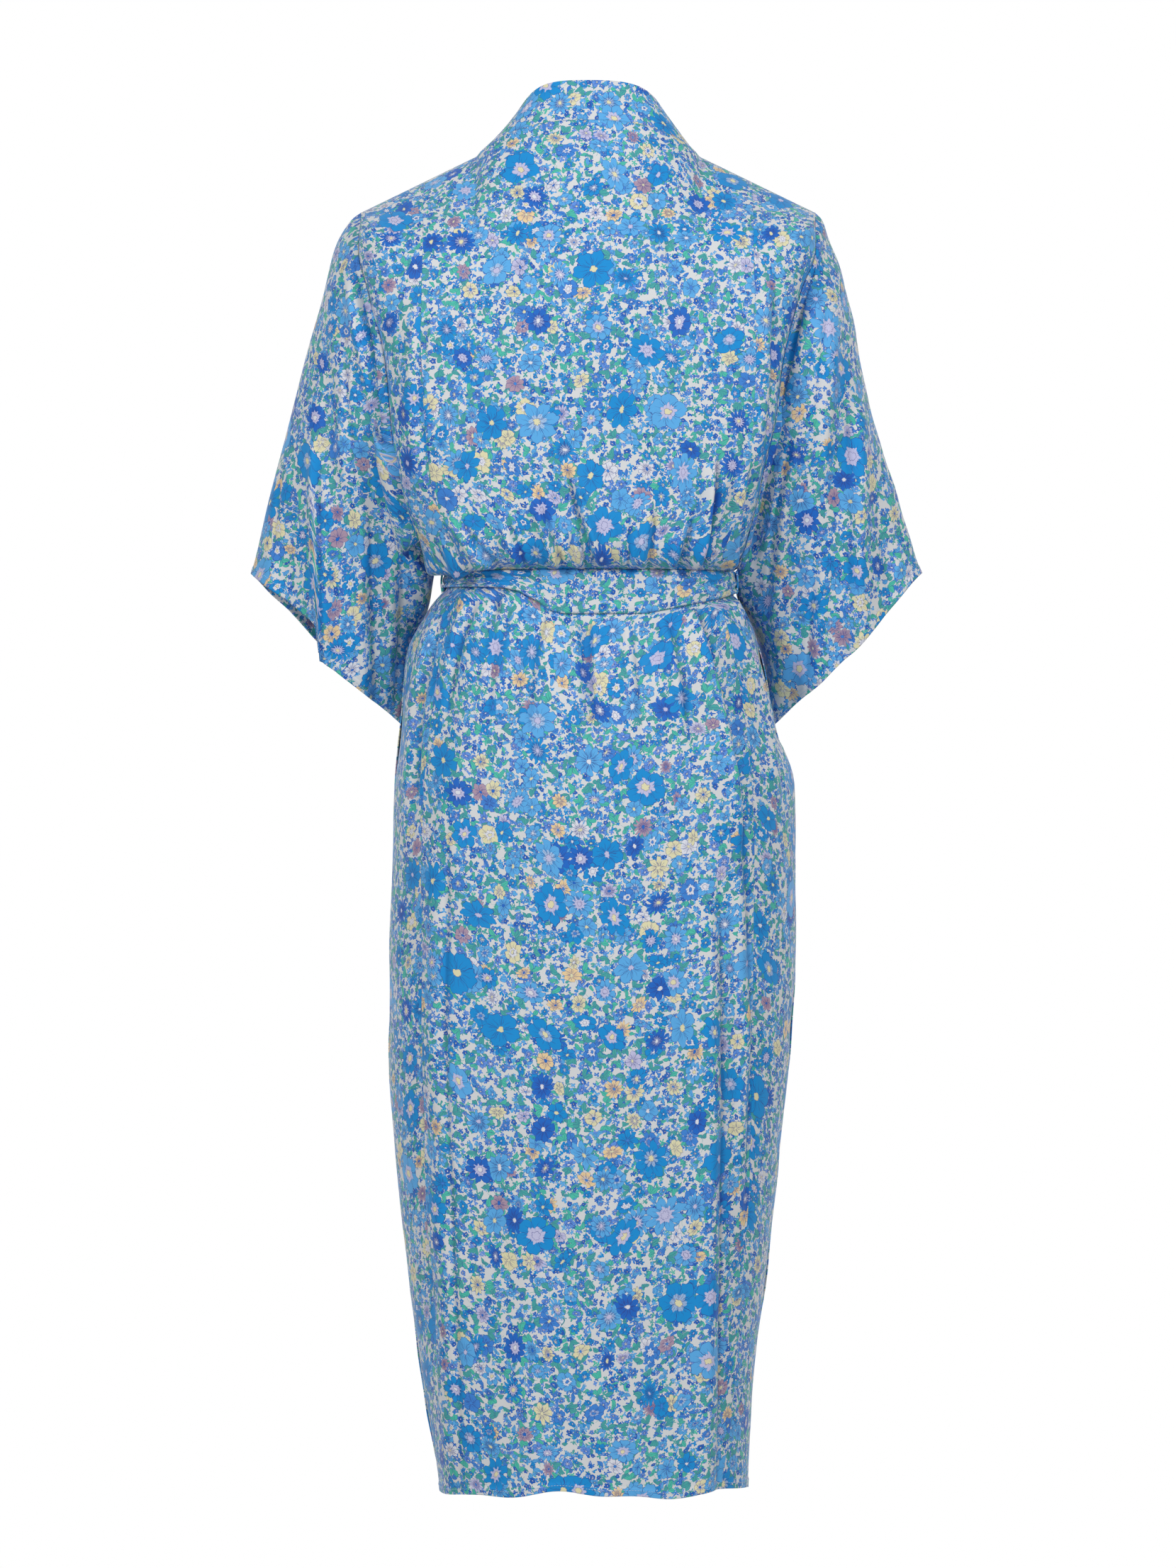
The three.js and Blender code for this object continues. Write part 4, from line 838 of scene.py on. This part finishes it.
def band_grid(widths):
    """The band from one front's hem round the nape to the other's. It lies flat on the fronts and stands at the neck."""
    widths = np.asarray(widths, float)[None, :]
    rows = ROWS[1:]

    def front(side):
        panel = FRONT[side]
        edge = panel.cloth(np.zeros(rows.shape), rows)
        z = edge[:, 2]
        span = body_half[side](z) * FLAT_SHARE - band_seam(z)
        beyond = panel.cloth(-widths * CENTRE_SHARE / span[:, None], rows[:, None])
        lean = edge[:, None] + neck_lean(np.array(float(side)), np.array(1.0)) * widths[..., None]
        stand = smooth(-70, NECK_Z, z)[:, None, None]
        return beyond * (1 - stand) + lean * stand

    x = np.linspace(NECK_HALF, -NECK_HALF, 71)
    side = np.where(x < 0, -1.0, 1.0)
    q = CENTRE_SHARE * np.abs(x) / PANEL_HALF
    edge = np.where((x >= 0)[:, None], BACK[1].cloth(q, np.zeros(q.shape)), BACK[-1].cloth(q, np.zeros(q.shape)))
    nape = edge[:, None] + neck_lean(side, np.abs(x) / NECK_HALF)[:, None] * widths[..., None]
    return np.concatenate([front(1)[::-1], nape, front(-1)])


def grid_normals(grid, outside=1):
    facing = np.cross(np.gradient(grid, axis=0), np.gradient(grid, axis=1)) * outside
    return facing / np.maximum(np.linalg.norm(facing, axis=-1, keepdims=True), 1e-9)


def waist_ring(grow, count=320):
    """Points round the waist at even steps, from the middle of the front."""
    angle = np.linspace(-np.pi, np.pi, 4001)
    sine, cosine = np.sin(angle), np.cos(angle)
    half = np.where(sine > 0, WAIST_HALF[1], WAIST_HALF[-1]) + grow
    deep = np.where(cosine > 0, WAIST_DEPTH[1], WAIST_DEPTH[-1]) + grow
    x = np.sign(sine) * half * np.abs(sine) ** (2 / SQUARE)
    y = np.sign(cosine) * deep * np.abs(cosine) ** (2 / SQUARE)
    run = np.concatenate([[0], np.cumsum(np.hypot(np.diff(x), np.diff(y)))])
    at = np.linspace(0, run[-1], count + 1)
    return np.interp(at, run, x), np.interp(at, run, y), at


def belt_piece():
    x, y, along = waist_ring(BELT_SPACE)
    share = np.linspace(0, 1, 19)[:, None]
    low = np.where(y > 0, waist_low(1, x), waist_low(-1, x))
    z = BELT_TOP_Z + (low - BELT_TOP_Z) * share
    out = np.stack([x, y * 1.02], axis=-1)
    out /= np.linalg.norm(out, axis=-1, keepdims=True)
    bunch = smooth(2, 20, low - BELT_LOW_Z)
    lift = 0.9 * wrinkle(along * np.ones(share.shape), share * 40, 51, 240, 26)
    lift = lift * (0.35 + 0.65 * bunch) + 1.5 * bunch * np.exp(-(((share - 0.9) / 0.1) ** 2))
    lift = lift + 0.9 * bunch * np.sin(share * 15 + along * 0.012)
    lift = lift - 1.0 * (np.exp(-((share / 0.05) ** 2)) + np.exp(-(((share - 1) / 0.05) ** 2)))
    grid = np.stack([x + out[:, 0] * lift, y + out[:, 1] * lift, z + 0 * lift], axis=-1)
    uv = np.stack([along + 0 * share, -share * BAND_WIDTH + 0 * along], axis=-1) + np.array(PRINT_SHIFT["belt"])
    turn = outward_sign(grid)
    return linen("belt_cloth", "belt", grid, uv, belt_look, outside=turn, thick=1.8, closed=True)


def tail_piece(word):
    """A loose end of the belt, pleated at the knot, that hangs over the skirt."""
    top, foot, half, length = TAILS[word]
    t = np.linspace(0, 1, 110)[:, None]
    a = np.linspace(-1, 1, 17)[None, :]
    start = KNOT_Z - KNOT_TALL - 0.2
    z = start - t * length + 0 * a
    wide = mix(half * 0.5, half, smooth(0, 0.3, t))
    spread = np.minimum(1, t * 2.2)
    x = mix(mix(top, foot, 0.75), foot, t) * spread + top * (1 - spread) + a * wide
    skirt = body_point(-1, x, z, np.ones(x.shape))
    gap = body_lift(-1, x.mean(axis=1, keepdims=True) + 0 * x, z, 200) + 5.2
    pleat = 2.4 * np.cos(a * 5.2 + (0.6 if word == "left" else -0.4)) * mix(1, 0.35, smooth(0, 0.5, t))
    pleat = pleat + 1.2 * np.sin(t * 9 + a)
    y = skirt[..., 1] - gap - pleat * smooth(0, 0.1, t)
    y = mix(KNOT_Y + 0.3 - KNOT_DEEP + 0.9 * np.cos(a * 6), y, smooth(0, 0.14, t))
    grid = np.stack([x, y, skirt[..., 2]], axis=-1)
    uv = np.stack([a * half + 0 * t, -t * length + 0 * a], axis=-1) + np.array(PRINT_SHIFT["tails"]) + (top, 0)
    piece = linen(f"belt_tail_{word}_cloth", f"belt_tail_{word}", grid, uv, belt_look,
                  thick=1.7, outside=outward_sign(grid))
    return piece


def knot_piece():
    """The knot: the belt's end passed once over itself, in soft folds."""
    u = np.linspace(0, 2 * np.pi, 97)[None, :]
    w = np.linspace(0.001, np.pi - 0.001, 57)[:, None]
    unit = np.stack([np.sin(w) * np.cos(u), np.cos(w) + 0 * u, np.sin(w) * np.sin(u)], axis=-1)
    squared = np.sign(unit) * np.abs(unit) ** 0.66
    crossing = unit[..., 0] * 0.8 + unit[..., 1] * 0.6
    folds = 1 - 0.1 * np.exp(-((crossing / 0.1) ** 2)) - 0.045 * np.cos(unit[..., 0] * 9 - unit[..., 1] * 7)
    face = np.minimum(KNOT_DEEP * squared[..., 2] * folds, KNOT_DEEP)
    back = -0.7 * KNOT_DEEP
    x = KNOT_X + KNOT_HALF * squared[..., 0] * (0.94 + 0.06 * folds)
    grid = np.stack([x, KNOT_Y + back - np.maximum(face, back), KNOT_Z + KNOT_TALL * squared[..., 1]], axis=-1)
    uv = np.stack([u * 14 + 0 * w, w * 18 + 0 * u], axis=-1) + np.array(PRINT_SHIFT["tails"]) + (200, 60)
    return linen("belt_knot_cloth", "belt_knot", grid, uv, belt_look, thick=1.2,
                 outside=outward_sign(grid, grid.mean(axis=(0, 1))), closed=True)


def carrier_piece(side):
    """The loop that holds the belt at a side seam."""
    z = np.linspace(BELT_TOP_Z + 0.6, BELT_LOW_Z + BELT_SIDE_RISE - 0.6, 30)[:, None]
    a = np.linspace(-1, 1, 9)[None, :]
    y = 15 + 4 * a
    share = (z - z.min()) / (z.max() - z.min())
    bulge = 1.2 * np.sin(np.pi * share) - 0.5 * a * a
    half = WAIST_HALF[side] + 4.4 + bulge
    x = side * half * (1 - (y / 105) ** SQUARE) ** (1 / SQUARE)
    grid = np.stack([x, y + 0 * z, z + 0 * a], axis=-1)
    uv = np.stack([y + 0 * z, z + 0 * a], axis=-1) + np.array(PRINT_SHIFT["belt"]) + (side * 70, 300)
    name = "left" if side > 0 else "right"
    return linen(f"belt_carrier_{name}_cloth", f"belt_carrier_{name}", grid, uv, belt_look,
                 thick=1.2, outside=outward_sign(grid))


def band_piece():
    widths = np.array(BAND_ROWS)
    grid = band_grid(widths)
    turn = outward_sign(grid[:200])
    run = run_length(grid[:, 6], 0)[:, None] + 0 * widths
    ripple = 0.5 * wrinkle(run, widths + 0 * run, 77, 150, 60) * smooth(0, 6, widths)
    grid = grid + grid_normals(grid, turn) * ripple[..., None]
    uv = np.stack([run, widths + 0 * run], axis=-1) + np.array(PRINT_SHIFT["neckband"])
    return linen("neckband_cloth", "neckband", grid, uv, band_look, outside=turn, thick=1.8)


def thread_material():
    material = bpy.data.materials.new("sewing thread")
    material.use_nodes = True
    tree = material.node_tree
    twist = shader_node(tree, "TexWave", [("Scale", 900)]).outputs["Fac"]
    tones = ((0, twist), (6, paint((0.62, 0.74, 0.88))), (7, paint((0.78, 0.85, 0.93))))
    shader = tree.nodes["Principled BSDF"].inputs
    shader["Roughness"].default_value = 0.5
    tree.links.new(shader_node(tree, "Mix", tones, data_type="RGBA").outputs[2], shader["Base Color"])
    return material


thread = thread_material()


def point_at(place, run, path):
    return np.array([np.interp(place, run, path[:, i]) for i in range(3)])


def stitches(name, path, out):
    """A row of stitches along a path on the cloth, each a short plump bead of thread."""
    run = run_length(path, 0)
    at = np.arange(STITCH_PITCH, run[-1] - STITCH_PITCH, STITCH_PITCH)
    ring = np.linspace(0, 2 * np.pi, 7)[:-1]
    verts, faces = [], []
    for place in at:
        ends = [point_at(place + d, run, path) for d in (-STITCH_HALF, STITCH_HALF)]
        up = point_at(place, run, out)
        up /= np.linalg.norm(up)
        across = np.cross(up, ends[1] - ends[0])
        across /= np.linalg.norm(across)
        first = len(verts)
        for share, wide in ((0.0, 0.35), (0.25, 0.9), (0.5, 1.0), (0.75, 0.9), (1.0, 0.35)):
            centre_at = mix(ends[0], ends[1], share) + up * STITCH_THICK * (0.7 * wide - 0.1)
            verts += [centre_at + STITCH_THICK * wide * (np.cos(a) * across + 0.75 * np.sin(a) * up) for a in ring]
        for j in range(4):
            for k in range(6):
                a, b = first + j * 6 + k, first + j * 6 + (k + 1) % 6
                faces.append((a, a + 6, b + 6, b))
        faces += [tuple(first + k for k in range(6)), tuple(first + 24 + k for k in reversed(range(6)))]
    mesh = bpy.data.meshes.new(name)
    mesh.from_pydata([tuple(v * MM) for v in verts], [], faces)
    mesh.shade_smooth()
    mesh.materials.append(thread)
    row = bpy.data.objects.new(name, mesh)
    bpy.context.collection.objects.link(row)
    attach(row, "root")
    return row


halves = [(BACK[-1], centre[::-1]), (BACK[1], centre[1:])]
panel_piece("back_panel_cloth", "back_panel", halves, (0.296, 1.235))
for side, word in ((1, "left"), (-1, "right")):
    for name, node, part, flat in (
        (f"side {word}", f"side_back_{word}", (BACK[side], outer), (0.104, 1.2)),
        (f"front {word}", f"front_{word}", (FRONT[side], whole), (0.3, 1.2)),
    ):
        panel_piece(f"{node}_cloth", node, [part], flat)
    sleeve_piece(side, f"sleeve_{word}_cloth", f"sleeve_{word}")

band_piece()
belt_piece()
tied = [knot_piece(), carrier_piece(1), carrier_piece(-1)]
for word in TAILS:
    tail_piece(word)

CAMERA_FAR, VIEW_HEIGHT, DOME_RADIUS, MIDDLE_Z = 8.4, 1.416, 9.6, -0.55
# the dome's brightness by its place along Y: from, to, level at from, level at to. The two are added
DOME_LEVELS = [(-7.7, -3.6, 1.0, 0.34), (4.7, 8.0, 0.0, 0.24)]
# name, place, side, power
LIGHTS = [("key", (-2.4, 2.8, 1.3), 0.6, 46), ("second", (2.3, 2.9, 1.0), 0.6, 43), ("top", (0, 1.6, 2.3), 1.0, 6)]


def studio():
    """A pale dome, brightest behind the garment, with soft lights and the camera."""
    middle = Vector((0, 0, MIDDLE_Z))
    bpy.ops.mesh.primitive_uv_sphere_add(segments=48, ring_count=24, radius=DOME_RADIUS, location=middle)
    dome = bpy.context.object
    dome.name = "backdrop"
    dome.data.shade_smooth()
    paper = bpy.data.materials.new("pale paper")
    paper.use_nodes = True
    tree = paper.node_tree
    tree.nodes.remove(tree.nodes["Principled BSDF"])
    place = shader_node(tree, "TexCoord").outputs["Object"]
    depth = shader_node(tree, "SeparateXYZ", [(0, place)]).outputs[1]
    levels = [shader_node(tree, "MapRange", enumerate((depth, *level)), interpolation_type="SMOOTHSTEP").outputs[0]
              for level in DOME_LEVELS]
    both = shader_node(tree, "Math", enumerate(levels)).outputs[0]
    glow = shader_node(tree, "Emission", [("Strength", both)])
    tree.links.new(glow.outputs[0], tree.nodes["Material Output"].inputs[0])
    dome.data.materials.append(paper)
    for name, place, size, power in LIGHTS:
        data = bpy.data.lights.new(name, "AREA")
        data.size, data.energy = size, power
        lamp = bpy.data.objects.new(name, data)
        lamp.location = place
        lamp.rotation_euler = (middle - Vector(place)).to_track_quat("-Z", "Y").to_euler()
        bpy.context.collection.objects.link(lamp)
    camera = bpy.data.objects.new("camera", bpy.data.cameras.new("camera"))
    bpy.context.collection.objects.link(camera)
    camera.location = (0, CAMERA_FAR, MIDDLE_Z + 0.01)
    camera.rotation_euler = (math.pi / 2, 0, math.pi)
    camera.data.sensor_fit = "VERTICAL"
    camera.data.lens = camera.data.sensor_height * CAMERA_FAR / VIEW_HEIGHT
    bpy.context.scene.camera = camera
    bpy.context.scene.view_settings.view_transform = "Standard"


studio()
